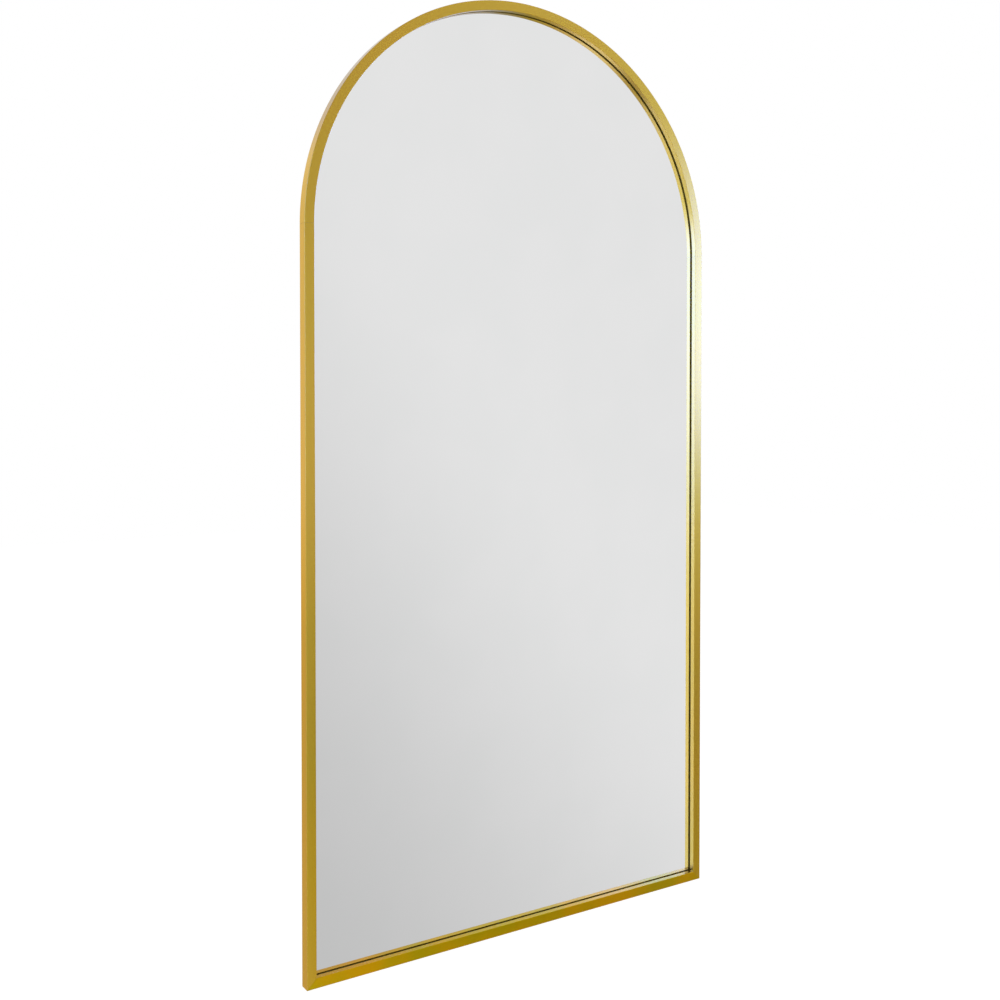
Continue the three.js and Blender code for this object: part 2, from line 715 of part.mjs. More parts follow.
/** A D-shaped ring's wire, hanging from its straight bar, which lies on X through the origin. */
function ringLine() {
  const [half, corner] = [RING_HALF_WIDTH, RING_CORNER];
  const across = half - corner;
  const low = -corner - RING_SIDE;
  const right = new THREE.Vector3(1, 0, 0);
  return new StationLine()
    .add(new THREE.Vector3(RING_SPLIT / 2, 0, 0), right)
    .addArc(across, -corner, corner, Math.PI / 2, 0, 4)
    .addArc(0, low, half, 0, -Math.PI, 12)
    .addArc(-across, -corner, corner, Math.PI, Math.PI / 2, 4)
    .add(new THREE.Vector3(-RING_SPLIT / 2, 0, 0), right);
}

function buildHangers() {
  const axisY = braceRearY + SEAT_GAP + curlRadius;
  const strapFront = -curlRadius;
  const strapRear = strapFront + STRAP_THICKNESS;
  const strapEnd = -strapScrewDrop - STRAP_TAIL;
  const half = STRAP_WIDTH / 2;
  const ring = rodAlong(ringLine(), WIRE_RADIUS, WIRE_SIDES);
  const strap = block([-half, strapFront, strapEnd], [half, strapRear, 0])
    .add(bar('x', curlRadius, -half, half))
    .subtract(bar('x', WIRE_RADIUS + TURN_ROOM, -half - 1, half + 1))
    .subtract(screwHole(0, strapFront - 1, strapRear + 1, -strapScrewDrop));
  for (const { name, sign } of sides) {
    const group = groupAt(assembly, sign * RING_PLACE, axisY, HINGE_HEIGHT + RING_AXIS_RISE);
    addPiece(group, `ring_strap_${name}`, strap, steelFinish);
    addPiece(group, `hanging_ring_${name}`, ring, steelFinish);
    addScrew(group, `ring_screw_${name}`, 0, strapRear, -strapScrewDrop);
  }
}

// ---------------------------------------------------------------- rubber

/** A heel: a wedge on the floor, with a tongue pressed into the bottom rail's screw groove. */
function heelSolid() {
  const [front, back] = [rearY + SEAT_GAP, rearY + SEAT_GAP + HEEL_DEPTH];
  const half = HEEL_LENGTH / 2;
  const wedge = pathThrough([
    [front, 0],
    [back, 0],
    [back, HEEL_HEIGHT - HEEL_CHAMFER],
    [back - HEEL_CHAMFER, HEEL_HEIGHT],
    [front, HEEL_HEIGHT],
  ]);
  const grip = grooveHalf - SEAT_GAP;
  const tongue = block([-half, rearY - HEEL_TONGUE, groovePlace - grip], [half, front + 1, groovePlace + grip]);
  return drawnAlongX(wedge, -half, half).add(tongue);
}

function buildRubber() {
  const heel = heelSolid();
  const profile = [
    [0, 0],
    [BUMPER_RADIUS, 0],
    [BUMPER_RADIUS, BUMPER_HEIGHT * 0.55],
    [BUMPER_RADIUS * 0.9, BUMPER_HEIGHT * 0.85],
    [BUMPER_FACE, BUMPER_HEIGHT],
    [0, BUMPER_HEIGHT],
  ].map(([radius, y]) => new THREE.Vector2(radius, y));
  const bumper = solidOf(new THREE.LatheGeometry(profile, 24));
  const boardRear = frontY + boardDepth + BOARD_THICKNESS;
  for (const { name, sign } of sides) {
    addPiece(assembly, `heel_${name}`, heel, rubberFinish).position.x = sign * HEEL_PLACE;
    const dome = addPiece(assembly, `wall_bumper_${name}`, bumper, rubberFinish);
    dome.position.set(sign * BUMPER_PLACE, boardRear + SEAT_GAP, MIRROR_HEIGHT - BUMPER_DROP);
  }
}

buildFrame();
buildKeys();
buildGlazing();
buildClips();
buildBraces();
buildStand();
buildHangers();
buildRubber();

export default assembly;
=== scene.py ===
"""Looks for an arched floor mirror: lacquered gold frame, silvered glass and the hardware behind.

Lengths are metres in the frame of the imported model: X runs across the mirror, Y from its face to
its back, and Z up from the floor.
"""

from __future__ import annotations

import logging
import math
from dataclasses import dataclass, field
from enum import Enum
from typing import Callable, Sequence

import bmesh
import bpy
from mathutils import Matrix, Vector
from mathutils.geometry import tessellate_polygon


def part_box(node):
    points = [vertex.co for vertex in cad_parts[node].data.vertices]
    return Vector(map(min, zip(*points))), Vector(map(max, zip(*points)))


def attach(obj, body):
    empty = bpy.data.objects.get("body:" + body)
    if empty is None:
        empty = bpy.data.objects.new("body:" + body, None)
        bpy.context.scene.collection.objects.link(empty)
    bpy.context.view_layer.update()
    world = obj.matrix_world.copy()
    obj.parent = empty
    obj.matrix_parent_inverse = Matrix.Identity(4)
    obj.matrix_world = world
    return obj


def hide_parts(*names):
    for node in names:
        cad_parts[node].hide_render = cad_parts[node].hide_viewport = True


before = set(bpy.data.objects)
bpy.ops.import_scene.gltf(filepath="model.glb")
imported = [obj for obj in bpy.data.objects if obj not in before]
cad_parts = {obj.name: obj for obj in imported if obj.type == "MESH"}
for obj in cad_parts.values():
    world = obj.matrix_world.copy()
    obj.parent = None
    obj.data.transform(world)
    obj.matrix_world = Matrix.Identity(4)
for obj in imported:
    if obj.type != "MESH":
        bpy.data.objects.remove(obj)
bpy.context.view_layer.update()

LOG = logging.getLogger("mirror")

Outline = list[tuple[float, float]]
Station = Callable[[float, float], Vector]
Placing = Callable[[Vector], Vector]
Triple = tuple[float, float, float]

SEAT_GAP = 0.0003
HAIRLINE = 0.0001
WELD = 1e-7
SHARP_ANGLE = math.radians(34)
DRILL_SIDES = 24
EDGE_STEPS = 2

WHITE = (1, 1, 1, 1)
COLOUR_INPUTS = (0, 6, 7)
COLOUR_RESULT = 2
GRAIN_NOISE = {"Scale": 1.0, "Detail": 4.0, "Roughness": 0.6}
DRIFT_NOISE = {"Scale": 1.0, "Detail": 2.0, "Roughness": 0.5}
NOISE_MIDDLE = 0.5
DRIFT_RANGE = (0.35, 0.65)


class Body(Enum):
    """The bodies that pieces ride on."""

    ROOT = "root"
    STAND = "stand"
    RING_LEFT = "ring_left"
    RING_RIGHT = "ring_right"


class Slot(Enum):
    """The record's material slots, which the log names for the pieces made here."""

    FRAME = "frame_gold"
    GASKET = "gasket_black"
    BRACE = "brace_silver"
    STAND = "stand_black"
    STEEL = "steel_zinc"
    RUBBER = "rubber_black"


class Side(Enum):
    """The two halves of the mirror, seen from in front."""

    LEFT = -1
    RIGHT = 1

    @property
    def word(self) -> str:
        """The side's name, as piece names use it."""
        return self.name.lower()


# ------------------------------------------------------------------ mesh building


def rounded(corners: Sequence[tuple[float, float, float]], steps: int = 3) -> Outline:
    """Rounds the corners of a polygon.

    Args:
        corners: The polygon's corners, each as two places and a radius.
        steps: How many stretches each rounded corner has.

    Returns:
        The outline's points.
    """
    points: Outline = []
    count = len(corners)
    for i, (x, y, radius) in enumerate(corners):
        here = Vector((x, y))
        if radius <= 0:
            points.append((x, y))
            continue
        before = (Vector(corners[i - 1][:2]) - here).normalized()
        after = (Vector(corners[(i + 1) % count][:2]) - here).normalized()
        half = before.angle(after) / 2
        centre = here + (before + after).normalized() * (radius / math.sin(half))
        start = here + before * (radius / math.tan(half)) - centre
        turn = math.pi - 2 * half
        if before.cross(after) > 0:
            turn = -turn
        for step in range(steps + 1):
            angle = turn * step / steps
            c, s = math.cos(angle), math.sin(angle)
            points.append((centre.x + c * start.x - s * start.y, centre.y + s * start.x + c * start.y))
    return points


def rounded_box(low_x: float, low_y: float, high_x: float, high_y: float, radius: float,
                steps: int = 5) -> Outline:
    """The outline of a rectangle with rounded corners."""
    corners = ((low_x, low_y), (high_x, low_y), (high_x, high_y), (low_x, high_y))
    return rounded([(x, y, radius) for x, y in corners], steps)


def arc(centre: tuple[float, float], radius: float, start: float, end: float, steps: int) -> Outline:
    """Points round part of a circle, between two angles in degrees."""
    angles = [math.radians(start + (end - start) * i / steps) for i in range(steps + 1)]
    return [(centre[0] + radius * math.cos(a), centre[1] + radius * math.sin(a)) for a in angles]


def circle(radius: float, sides: int) -> Outline:
    """A regular outline round the origin."""
    return arc((0, 0), radius, 0, 360, sides)[:-1]


def along_y(x: float, y: float, z: float) -> Placing:
    """Puts a turned shape with its axis along Y, from a place on it."""
    return lambda p: Vector((x + p.x, y + p.z, z + p.y))


def along_x(x: float, y: float, z: float) -> Placing:
    """Puts a turned shape with its axis along X, from a place on it."""
    return lambda p: Vector((x + p.z, y + p.x, z + p.y))


def along_z(x: float, y: float, z: float) -> Placing:
    """Puts a turned shape with its axis along Z, from a place on it."""
    return lambda p: Vector((x + p.x, y + p.y, z + p.z))


class Shape:
    """A closed surface under construction, in the model's frame."""

    def __init__(self) -> None:
        """Starts an empty surface."""
        self.bm = bmesh.new()

    @classmethod
    def swept(cls, loops: Sequence[Outline], stations: Sequence[Station]) -> Shape:
        """Sweeps a section through stations and closes both ends.

        Args:
            loops: The section's outer outline, then any holes.
            stations: One function each, which puts a point of the section in the model's frame.

        Returns:
            The shape.
        """
        made = cls()
        new, face = made.bm.verts.new, made.bm.faces.new
        rings = [[[new(put(*p)) for p in loop] for loop in loops] for put in stations]
        for near, far in zip(rings, rings[1:]):
            for a, b in zip(near, far):
                for i in range(len(a)):
                    j = (i + 1) % len(a)
                    face((a[i], a[j], b[j], b[i]))
        flat = [[Vector((x, y, 0)) for x, y in loop] for loop in loops]
        for ring in (rings[0], rings[-1]):
            corners = [v for loop in ring for v in loop]
            if len(loops) == 1:
                face(corners)
                continue
            for triangle in tessellate_polygon(flat):
                face([corners[i] for i in triangle])
        return made

    @classmethod
    def turned(cls, profile: Outline, sides: int, put: Placing, closed: bool = False) -> Shape:
        """Turns a profile about its own axis.

        Args:
            profile: Points as radius and height. A radius of 0 closes that end.
            sides: How many steps go round.
            put: Puts a turned point, with its axis on Z, in the model's frame.
            closed: Whether the profile closes on itself, clear of the axis.

        Returns:
            The shape.
        """
        made = cls()
        rings: list[list[bmesh.types.BMVert]] = []
        for radius, height in profile:
            places = circle(radius, sides) if radius > 0 else [(0.0, 0.0)]
            rings.append([made.bm.verts.new(put(Vector((x, y, height)))) for x, y in places])
        if closed:
            rings.append(rings[0])
        for near, far in zip(rings, rings[1:]):
            for i in range(sides):
                j = (i + 1) % sides
                places = ((near, i), (near, j), (far, j), (far, i))
                corners = [ring[k % len(ring)] for ring, k in places]
                made.bm.faces.new(list(dict.fromkeys(corners)))
        return made

    @classmethod
    def plate(cls, loops: Sequence[Outline], front: float, back: float) -> Shape:
        """A plate drawn in X and Z, between two places on Y."""
        return cls.swept(loops, [lambda x, z, y=y: Vector((x, y, z)) for y in (front, back)])

    @classmethod
    def drawn_along_x(cls, loops: Sequence[Outline], start: float, end: float) -> Shape:
        """A bar whose section is drawn in Y and Z, between two places on X."""
        return cls.swept(loops, [lambda y, z, x=x: Vector((x, y, z)) for x in (start, end)])

    @classmethod
    def bent(cls, loops: Sequence[Outline], path: Outline, turns: Sequence[float], y: float) -> Shape:
        """Sweeps a section along a path drawn in X and Z.

        Args:
            loops: The section's outlines.
            path: The places along it.
            turns: Where the section's first axis points at each place, as an angle from X to Z.
            y: Where the path lies on Y.

        Returns:
            The shape.
        """

        def station(place: tuple[float, float], angle: float) -> Station:
            """The section at one place on the path."""
            outward = Vector((math.cos(angle), 0, math.sin(angle)))
            centre = Vector((place[0], y, place[1]))
            return lambda u, v: centre + outward * u + Vector((0, v, 0))

        return cls.swept(loops, [station(p, a) for p, a in zip(path, turns)])

    @classmethod
    def rod(cls, radius: float, length: float, put: Placing, sides: int = 32) -> Shape:
        """A plain round rod, from its place along its axis. It serves to join or to drill."""
        return cls.turned([(0, 0), (radius, 0), (radius, length), (0, length)], sides, put)

    def _loose(self) -> bpy.types.Object:
        """The shape as a bare object, for a boolean."""
        bmesh.ops.recalc_face_normals(self.bm, faces=self.bm.faces)
        mesh = bpy.data.meshes.new("loose")
        self.bm.to_mesh(mesh)
        self.bm.free()
        made = bpy.data.objects.new("loose", mesh)
        bpy.context.scene.collection.objects.link(made)
        return made

    def _combined(self, other: Shape, operation: str) -> Shape:
        """Joins, cuts or trims the shape with another, which is used up."""
        base, tool = self._loose(), other._loose()
        step = base.modifiers.new("boolean", "BOOLEAN")
        step.operation = operation
        step.solver = "EXACT"
        step.object = tool
        depsgraph = bpy.context.evaluated_depsgraph_get()
        result = bpy.data.meshes.new_from_object(base.evaluated_get(depsgraph))
        self.bm = bmesh.new()
        self.bm.from_mesh(result)
        bmesh.ops.remove_doubles(self.bm, verts=self.bm.verts, dist=WELD)
        spent = [base.data, tool.data, result]
        for loose in (base, tool):
            bpy.data.objects.remove(loose)
        for mesh in spent:
            bpy.data.meshes.remove(mesh)
        return self

    def join(self, other: Shape) -> Shape:
        """Joins another shape to this one."""
        return self._combined(other, "UNION")

    def cut(self, other: Shape) -> Shape:
        """Takes another shape away from this one."""
        return self._combined(other, "DIFFERENCE")

    def trim(self, other: Shape) -> Shape:
        """Keeps what this shape shares with another."""
        return self._combined(other, "INTERSECT")

    def drill(self, x: float, z: float, radius: float, start: float, end: float) -> Shape:
        """Drills a round hole along Y."""
        return self.cut(Shape.rod(radius, end - start, along_y(x, start, z), DRILL_SIDES))

    def drill_for(self, screw: str, radius: float, face: float, wall: float) -> Shape:
        """Drills a screw's hole through a wall that starts at a place on Y."""
        spot = middle(screw)
        return self.drill(spot.x, spot.z, radius, face - wall, face + 2 * wall)

    def piece(self, name: str, edge: float = 0.0) -> bpy.types.Object:
        """Turns the shape into a piece, smooth but for its sharp edges.

        Args:
            name: The piece's name.
            edge: How wide its sharp edges are rounded.

        Returns:
            The new object.
        """
        bmesh.ops.recalc_face_normals(self.bm, faces=self.bm.faces)
        for face in self.bm.faces:
            face.smooth = True
        for line in self.bm.edges:
            line.smooth = len(line.link_faces) == 2 and line.calc_face_angle() < SHARP_ANGLE
        mesh = bpy.data.meshes.new(name)
        self.bm.to_mesh(mesh)
        self.bm.free()
        made = bpy.data.objects.new(name, mesh)
        bpy.context.scene.collection.objects.link(made)
        if edge > 0:
            bevel = made.modifiers.new("edge", "BEVEL")
            bevel.width = edge
            bevel.segments = EDGE_STEPS
            bevel.limit_method = "ANGLE"
            bevel.angle_limit = SHARP_ANGLE
            bevel.harden_normals = True
        weighted = made.modifiers.new("even_normals", "WEIGHTED_NORMAL")
        weighted.keep_sharp = True
        return made


def dress(
    piece: bpy.types.Object,
    material: bpy.types.Material,
    slot: Slot,
    body: Body = Body.ROOT,
    nodes: Sequence[str] = (),
) -> bpy.types.Object:
    """Gives a piece its finish and its body.

    Args:
        piece: The piece.
        material: Its finish.
        slot: The record's slot of that finish.
        body: What it rides on.
        nodes: The model's nodes that it stands for.

    Returns:
        The same piece.
    """
    piece.data.materials.append(material)
    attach(piece, body.value)
    if nodes:
        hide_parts(*nodes)
    LOG.info("%s rides on %s in %s", piece.name, body.value, slot.value)
    return piece


def middle(node: str) -> Vector:
    """The middle of one of the model's nodes."""
    low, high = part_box(node)
    return (low + high) / 2


# ------------------------------------------------------------------ shader graphs


@dataclass
class Graph:
    """A shader node tree under construction."""

    tree: bpy.types.NodeTree

    def feed(self, socket: bpy.types.NodeSocket, value: object) -> None:
        """Links an input to another node's output, or sets its value."""
        if isinstance(value, bpy.types.NodeSocket):
            self.tree.links.new(value, socket)
        else:
            socket.default_value = value

    def node(self, kind: str, *inputs: object, **values: object) -> bpy.types.Node:
        """Adds a node and sets its properties and inputs.

        Args:
            kind: The node's type.
            *inputs: Its first inputs, in order.
            **values: Properties, and inputs by name with spaces as underscores.

        Returns:
            The node.
        """
        made = self.tree.nodes.new(kind)
        for key, value in values.items():
            if hasattr(made, key):
                setattr(made, key, value)
            else:
                self.feed(made.inputs[key.replace("_", " ")], value)
        for socket, value in zip(made.inputs, inputs):
            self.feed(socket, value)
        return made

    def math(self, operation: str, *values: float | bpy.types.NodeSocket) -> bpy.types.NodeSocket:
        """The result of a Math node on one to three values."""
        return self.node("ShaderNodeMath", *values, operation=operation).outputs[0]

    def vector(self, operation: str, *values: Triple | bpy.types.NodeSocket) -> bpy.types.Node:
        """A Vector Math node on one or two vectors."""
        return self.node("ShaderNodeVectorMath", *values, operation=operation)

    def shader(self, kind: str, *values: object) -> bpy.types.NodeSocket:
        """The shader that a node makes of its first inputs."""
        return self.node(kind, *values).outputs[0]

    def mix(self, *sockets: bpy.types.NodeSocket) -> bpy.types.NodeSocket:
        """A colour that a factor takes from a first colour to a second."""
        made = self.node("ShaderNodeMix", data_type="RGBA")
        for place, socket in zip(COLOUR_INPUTS, sockets):
            self.feed(made.inputs[place], socket)
        return made.outputs[COLOUR_RESULT]

    def ramp(self, value: bpy.types.NodeSocket, low: float, high: float, to_low: float = 0,
             to_high: float = 1) -> bpy.types.NodeSocket:
        """A value mapped smoothly from one range onto another, held at both ends."""
        made = self.node("ShaderNodeMapRange", interpolation_type="SMOOTHSTEP", Value=value,
                         From_Min=low, From_Max=high, To_Min=to_low, To_Max=to_high)
        return made.outputs["Result"]


def shared_group(
    name: str, inputs: dict[str, str], outputs: dict[str, str]
) -> tuple[Graph, dict, dict]:
    """Starts a shader group that several materials use.

    Args:
        name: The group's name.
        inputs: Input names and socket types.
        outputs: Output names and socket types.

    Returns:
        The group's graph, its input sockets by name and its output sockets by name.
    """
    tree = bpy.data.node_groups.new(name, "ShaderNodeTree")
    for key, kind in inputs.items():
        tree.interface.new_socket(key, in_out="INPUT", socket_type=kind)
    for key, kind in outputs.items():
        tree.interface.new_socket(key, in_out="OUTPUT", socket_type=kind)
    graph = Graph(tree)
    start = tree.nodes.new("NodeGroupInput")
    end = tree.nodes.new("NodeGroupOutput")
    return graph, {k: start.outputs[k] for k in inputs}, {k: end.inputs[k] for k in outputs}


@dataclass
class SharedEffects:
    """The shader groups that more than one finish uses, each built once."""

    grain: bpy.types.NodeTree = field(init=False)
    drift: bpy.types.NodeTree = field(init=False)

    def __post_init__(self) -> None:
        """Builds the groups."""
        self.grain = self._build_grain()
        self.drift = self._build_drift()

    @staticmethod
    def _build_grain() -> bpy.types.NodeTree:
        """Fine grain, stretched by a scale along each axis: a roughness and a bump height."""
        graph, given, out = shared_group(
            "fine_grain",
            {"Scale": "NodeSocketVector", "Roughness": "NodeSocketFloat", "Spread": "NodeSocketFloat"},
            {"Roughness": "NodeSocketFloat", "Height": "NodeSocketFloat"},
        )
        place = graph.node("ShaderNodeTexCoord")
        scaled = graph.vector("MULTIPLY", place.outputs["Object"], given["Scale"])
        noise = graph.node("ShaderNodeTexNoise", Vector=scaled.outputs[0], **GRAIN_NOISE)
        centred = graph.math("SUBTRACT", noise.outputs["Fac"], NOISE_MIDDLE)
        spread = graph.math("MULTIPLY_ADD", centred, given["Spread"], given["Roughness"])
        graph.tree.links.new(spread, out["Roughness"])
        graph.tree.links.new(noise.outputs["Fac"], out["Height"])
        return graph.tree

    @staticmethod
    def _build_drift() -> bpy.types.NodeTree:
        """A slow drift between two colours over the surface."""
        graph, given, out = shared_group(
            "colour_drift",
            {"Scale": "NodeSocketVector", "First": "NodeSocketColor", "Second": "NodeSocketColor"},
            {"Color": "NodeSocketColor"},
        )
        place = graph.node("ShaderNodeTexCoord")
        scaled = graph.vector("MULTIPLY", place.outputs["Object"], given["Scale"])
        noise = graph.node("ShaderNodeTexNoise", Vector=scaled.outputs[0], **DRIFT_NOISE)
        factor = graph.ramp(noise.outputs["Fac"], *DRIFT_RANGE)
        graph.tree.links.new(graph.mix(factor, given["First"], given["Second"]), out["Color"])
        return graph.tree


@dataclass(frozen=True)
class Finish:
    """A finish whose colour drifts between two tones, with fine grain in its gloss and relief."""

    name: str
    first: Triple
    second: Triple
    metallic: float
    roughness: float
    spread: float = 0.08
    drift_scale: Triple = (6, 6, 6)
    grain_scale: Triple = (600, 600, 600)
    relief: float = 0.08
    relief_depth: float = 0.0002
    coat: float = 0.0
    coat_roughness: float = 0.1
    specular: float = 0.5
    grained: bool = True

    def material(self, effects: SharedEffects) -> bpy.types.Material:
        """Builds the finish's material.

        Args:
            effects: The shared shader groups.

        Returns:
            The material.
        """
        made = bpy.data.materials.new(self.name)
        made.use_nodes = True
        graph = Graph(made.node_tree)
        shader = made.node_tree.nodes["Principled BSDF"]
        shader.inputs["Metallic"].default_value = self.metallic
        shader.inputs["Coat Weight"].default_value = self.coat
        shader.inputs["Coat Roughness"].default_value = self.coat_roughness
        shader.inputs["Specular IOR Level"].default_value = self.specular
        drift = graph.node("ShaderNodeGroup", node_tree=effects.drift, Scale=self.drift_scale,
                           First=(*self.first, 1), Second=(*self.second, 1))
        graph.feed(shader.inputs["Base Color"], drift.outputs["Color"])
        if not self.grained:
            shader.inputs["Roughness"].default_value = self.roughness
            return made
        grain = graph.node("ShaderNodeGroup", node_tree=effects.grain, Scale=self.grain_scale,
                           Roughness=self.roughness, Spread=self.spread)
        bump = graph.node("ShaderNodeBump", Strength=self.relief, Distance=self.relief_depth,
                          Height=grain.outputs["Height"])
        graph.feed(shader.inputs["Roughness"], grain.outputs["Roughness"])
        graph.feed(shader.inputs["Normal"], bump.outputs["Normal"])
        return made


GOLD = Finish(
    "lacquered_gold", (0.46, 0.243, 0.003), (0.425, 0.242, 0.003), metallic=1, roughness=0.3,
    spread=0.03, drift_scale=(3, 3, 3), grain_scale=(900, 900, 900), relief=0.003, coat=0.9,
    coat_roughness=0.16,
)
# A lit copy of the frame's gold for the bottom rail: its saturated orange- and green-gold patches are a
# painted reflection of the floor close in front of the rail, and its thin coat keeps off the pale sheen
# of the other lengths.
RAIL_GOLD = Finish(
    "rail_gold_painted_reflection", (0.375, 0.265, 0.0022), (0.52, 0.262, 0.0015), metallic=1, roughness=0.3,
    spread=0.03, drift_scale=(7, 3, 9), grain_scale=(900, 900, 900), relief=0.003, coat=0.08,
    coat_roughness=0.16,
)
SILVERING = Finish(
    "silvered_glass", (0.905, 0.905, 0.905), (0.893, 0.896, 0.895), metallic=1, roughness=0,
    grained=False,
)
# The strip's olive-brown is partly the gasket's own dark colour and partly a painted shade: the colour
# of the shaded gap between the gold lip and the glass.
STRIP = Finish(
    "glazing_strip", (0.075, 0.048, 0.004), (0.09, 0.058, 0.006), metallic=0, roughness=0.9,
    specular=0.02,
)
BOARD = Finish(
    "hardboard", (0.15, 0.081, 0.039), (0.18, 0.1, 0.05), metallic=0, roughness=0.8,
    drift_scale=(420, 420, 160), grain_scale=(1500, 1500, 700), relief=0.5,
)
FILM = Finish("film", (0.3, 0.31, 0.33), (0.26, 0.27, 0.29), metallic=0, roughness=0.45)
MILL = Finish(
    "mill_aluminium", (0.62, 0.63, 0.64), (0.56, 0.57, 0.59), metallic=1, roughness=0.38,
    drift_scale=(2, 60, 60), grain_scale=(12, 900, 900), relief=0.12,
)
POWDER = Finish(
    "powder_coat", (0.011, 0.011, 0.012), (0.015, 0.015, 0.016), metallic=0, roughness=0.42,
    grain_scale=(1400, 1400, 1400), relief=0.35,
)
ZINC = Finish(
    "zinc_plate", (0.58, 0.6, 0.62), (0.66, 0.66, 0.63), metallic=1, roughness=0.3,
    drift_scale=(120, 120, 120), grain_scale=(1500, 1500, 1500), relief=0.1,
)
MOULDED = Finish(
    "moulded_rubber", (0.013, 0.013, 0.013), (0.02, 0.02, 0.02), metallic=0, roughness=0.72,
    grain_scale=(1800, 1800, 1800), relief=0.4,
)


@dataclass
class Materials:
    """Every finish of the mirror, as a material."""

    effects: SharedEffects

    def __post_init__(self) -> None:
        """Builds the materials."""
        self.gold = GOLD.material(self.effects)
        self.rail_gold = RAIL_GOLD.material(self.effects)
        self.silver = SILVERING.material(self.effects)
        self.strip = STRIP.material(self.effects)
        self.film = FILM.material(self.effects)
        self.board = BOARD.material(self.effects)
        self.mill = MILL.material(self.effects)
        self.powder = POWDER.material(self.effects)
        self.zinc = ZINC.material(self.effects)
        self.rubber = MOULDED.material(self.effects)


# ------------------------------------------------------------------ the mirror


@dataclass(frozen=True)
class FrameSizes:
    """Where the frame's extrusion lies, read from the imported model."""

    half_width: float
    spring: float
    face: float
    front: float
    rear: float
    lip_back: float

    @classmethod
    def from_model(cls) -> FrameSizes:
        """Reads the sizes off the left stile and the glazing strip."""
        low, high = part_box("frame_left_stile")
        strip_low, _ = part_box("glazing_gasket")
        return cls(-low.x, high.z + HAIRLINE, high.x - low.x, low.y, high.y, strip_low.y - SEAT_GAP)


@dataclass
class MirrorFrame:
    """The four lengths of gold extrusion, hollow in front, with a screw groove behind."""

    sizes: FrameSizes
    materials: Materials
    arris: float = 0.0006
    rear_arris: float = 0.0003
    wall: float = 0.0017
    rib: float = 0.0086
    groove_wall: float = 0.0034
    groove_width: float = 0.003
    groove_depth: float = 0.007
    grub_room: float = 0.0004
    arch_steps: int = 240

    def section(self) -> list[Outline]:
        """The extrusion's outline and its chamber's: in from the outer edge, and the place on Y."""
        s = self.sizes
        groove_end = self.groove_wall + self.groove_width
        floor = s.rear - self.groove_depth
        outline = rounded([
            (0, s.front, self.arris),
            (s.face, s.front, self.arris),
            (s.face, s.lip_back, self.rear_arris),
            (self.rib, s.lip_back, 0),
            (self.rib, s.rear, self.rear_arris),
            (groove_end, s.rear, self.rear_arris),
            (groove_end, floor, 0),
            (self.groove_wall, floor, 0),
            (self.groove_wall, s.rear, self.rear_arris),
            (0, s.rear, self.rear_arris),
        ])
        far, back = s.face - self.wall, s.lip_back - self.wall
        return [outline, rounded_box(self.wall, s.front + self.wall, far, back, self.rear_arris, 2)]

    def drilled(self, shape: Shape, grub: str) -> Shape:
        """Drills the hole of a grub screw through the chamber's back."""
        low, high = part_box(grub)
        radius = (high.x - low.x) / 2 + self.grub_room
        return shape.drill_for(grub, radius, self.sizes.lip_back - self.wall, self.wall)

    def build_stile(self, side: Side) -> None:
        """Builds one upright, mitred at its foot."""
        s = self.sizes
        edge, inward = side.value * s.half_width, -side.value
        ends = [
            lambda u, y: Vector((edge + inward * u, y, u + HAIRLINE)),
            lambda u, y: Vector((edge + inward * u, y, s.spring - HAIRLINE)),
        ]
        shape = self.drilled(Shape.swept(self.section(), ends), f"key_screw_{side.word}_stile")
        piece = shape.piece(f"gold_{side.word}_stile")
        dress(piece, self.materials.gold, Slot.FRAME, nodes=[f"frame_{side.word}_stile"])

    def build_rail(self) -> None:
        """Builds the bottom rail, mitred at both ends."""
        s = self.sizes
        shape = Shape.swept(self.section(), [
            lambda u, y: Vector((-s.half_width + u + HAIRLINE, y, u)),
            lambda u, y: Vector((s.half_width - u - HAIRLINE, y, u)),
        ])
        for side in Side:
            shape = self.drilled(shape, f"key_screw_{side.word}_rail")
        piece = shape.piece("gold_bottom_rail")
        # The rail wears its own gold, whose colour patches are painted reflection.
        dress(piece, self.materials.rail_gold, Slot.FRAME, nodes=["frame_bottom_rail"])

    def build_arch(self) -> None:
        """Builds the half-circle over the stiles."""
        s = self.sizes
        trim = HAIRLINE / s.half_width

        def station(step: int) -> Station:
            """The section's place at one step round the arch."""
            angle = trim + (math.pi - 2 * trim) * step / self.arch_steps
            spoke, lift = Vector((math.cos(angle), 0, math.sin(angle))), Vector((0, 0, s.spring))
            return lambda u, y: spoke * (s.half_width - u) + lift + Vector((0, y, 0))

        shape = Shape.swept(self.section(), [station(i) for i in range(self.arch_steps + 1)])
        dress(shape.piece("gold_arch"), self.materials.gold, Slot.FRAME, nodes=["frame_arch"])

    def build(self) -> None:
        """Builds all four lengths."""
        for side in Side:
            self.build_stile(side)
        self.build_rail()
        self.build_arch()


@dataclass
class Glazing:
    """The strip between the frame's inner lip and the glass, dark partly in its own colour and partly
    with the painted shade of the gap there.
    """

    sizes: FrameSizes
    materials: Materials
    strip_setback: float = 0.0006
    steps: int = 160

    def pane(self, half: float, foot: float) -> Outline:
        """The outline of a pane: straight sides from its foot, under a half-circle."""
        return [(-half, foot), (half, foot)] + arc((0, self.sizes.spring), half, 0, 180, self.steps)

    def build(self) -> None:
        """Builds the strip."""
        low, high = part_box("glazing_gasket")
        inset = self.sizes.face - self.strip_setback
        loops = [self.pane(high.x, low.z), self.pane(self.sizes.half_width - inset, inset)]
        strip = Shape.plate(loops, low.y, high.y).piece("strip_loop")
        dress(strip, self.materials.strip, Slot.GASKET, nodes=["glazing_gasket"])


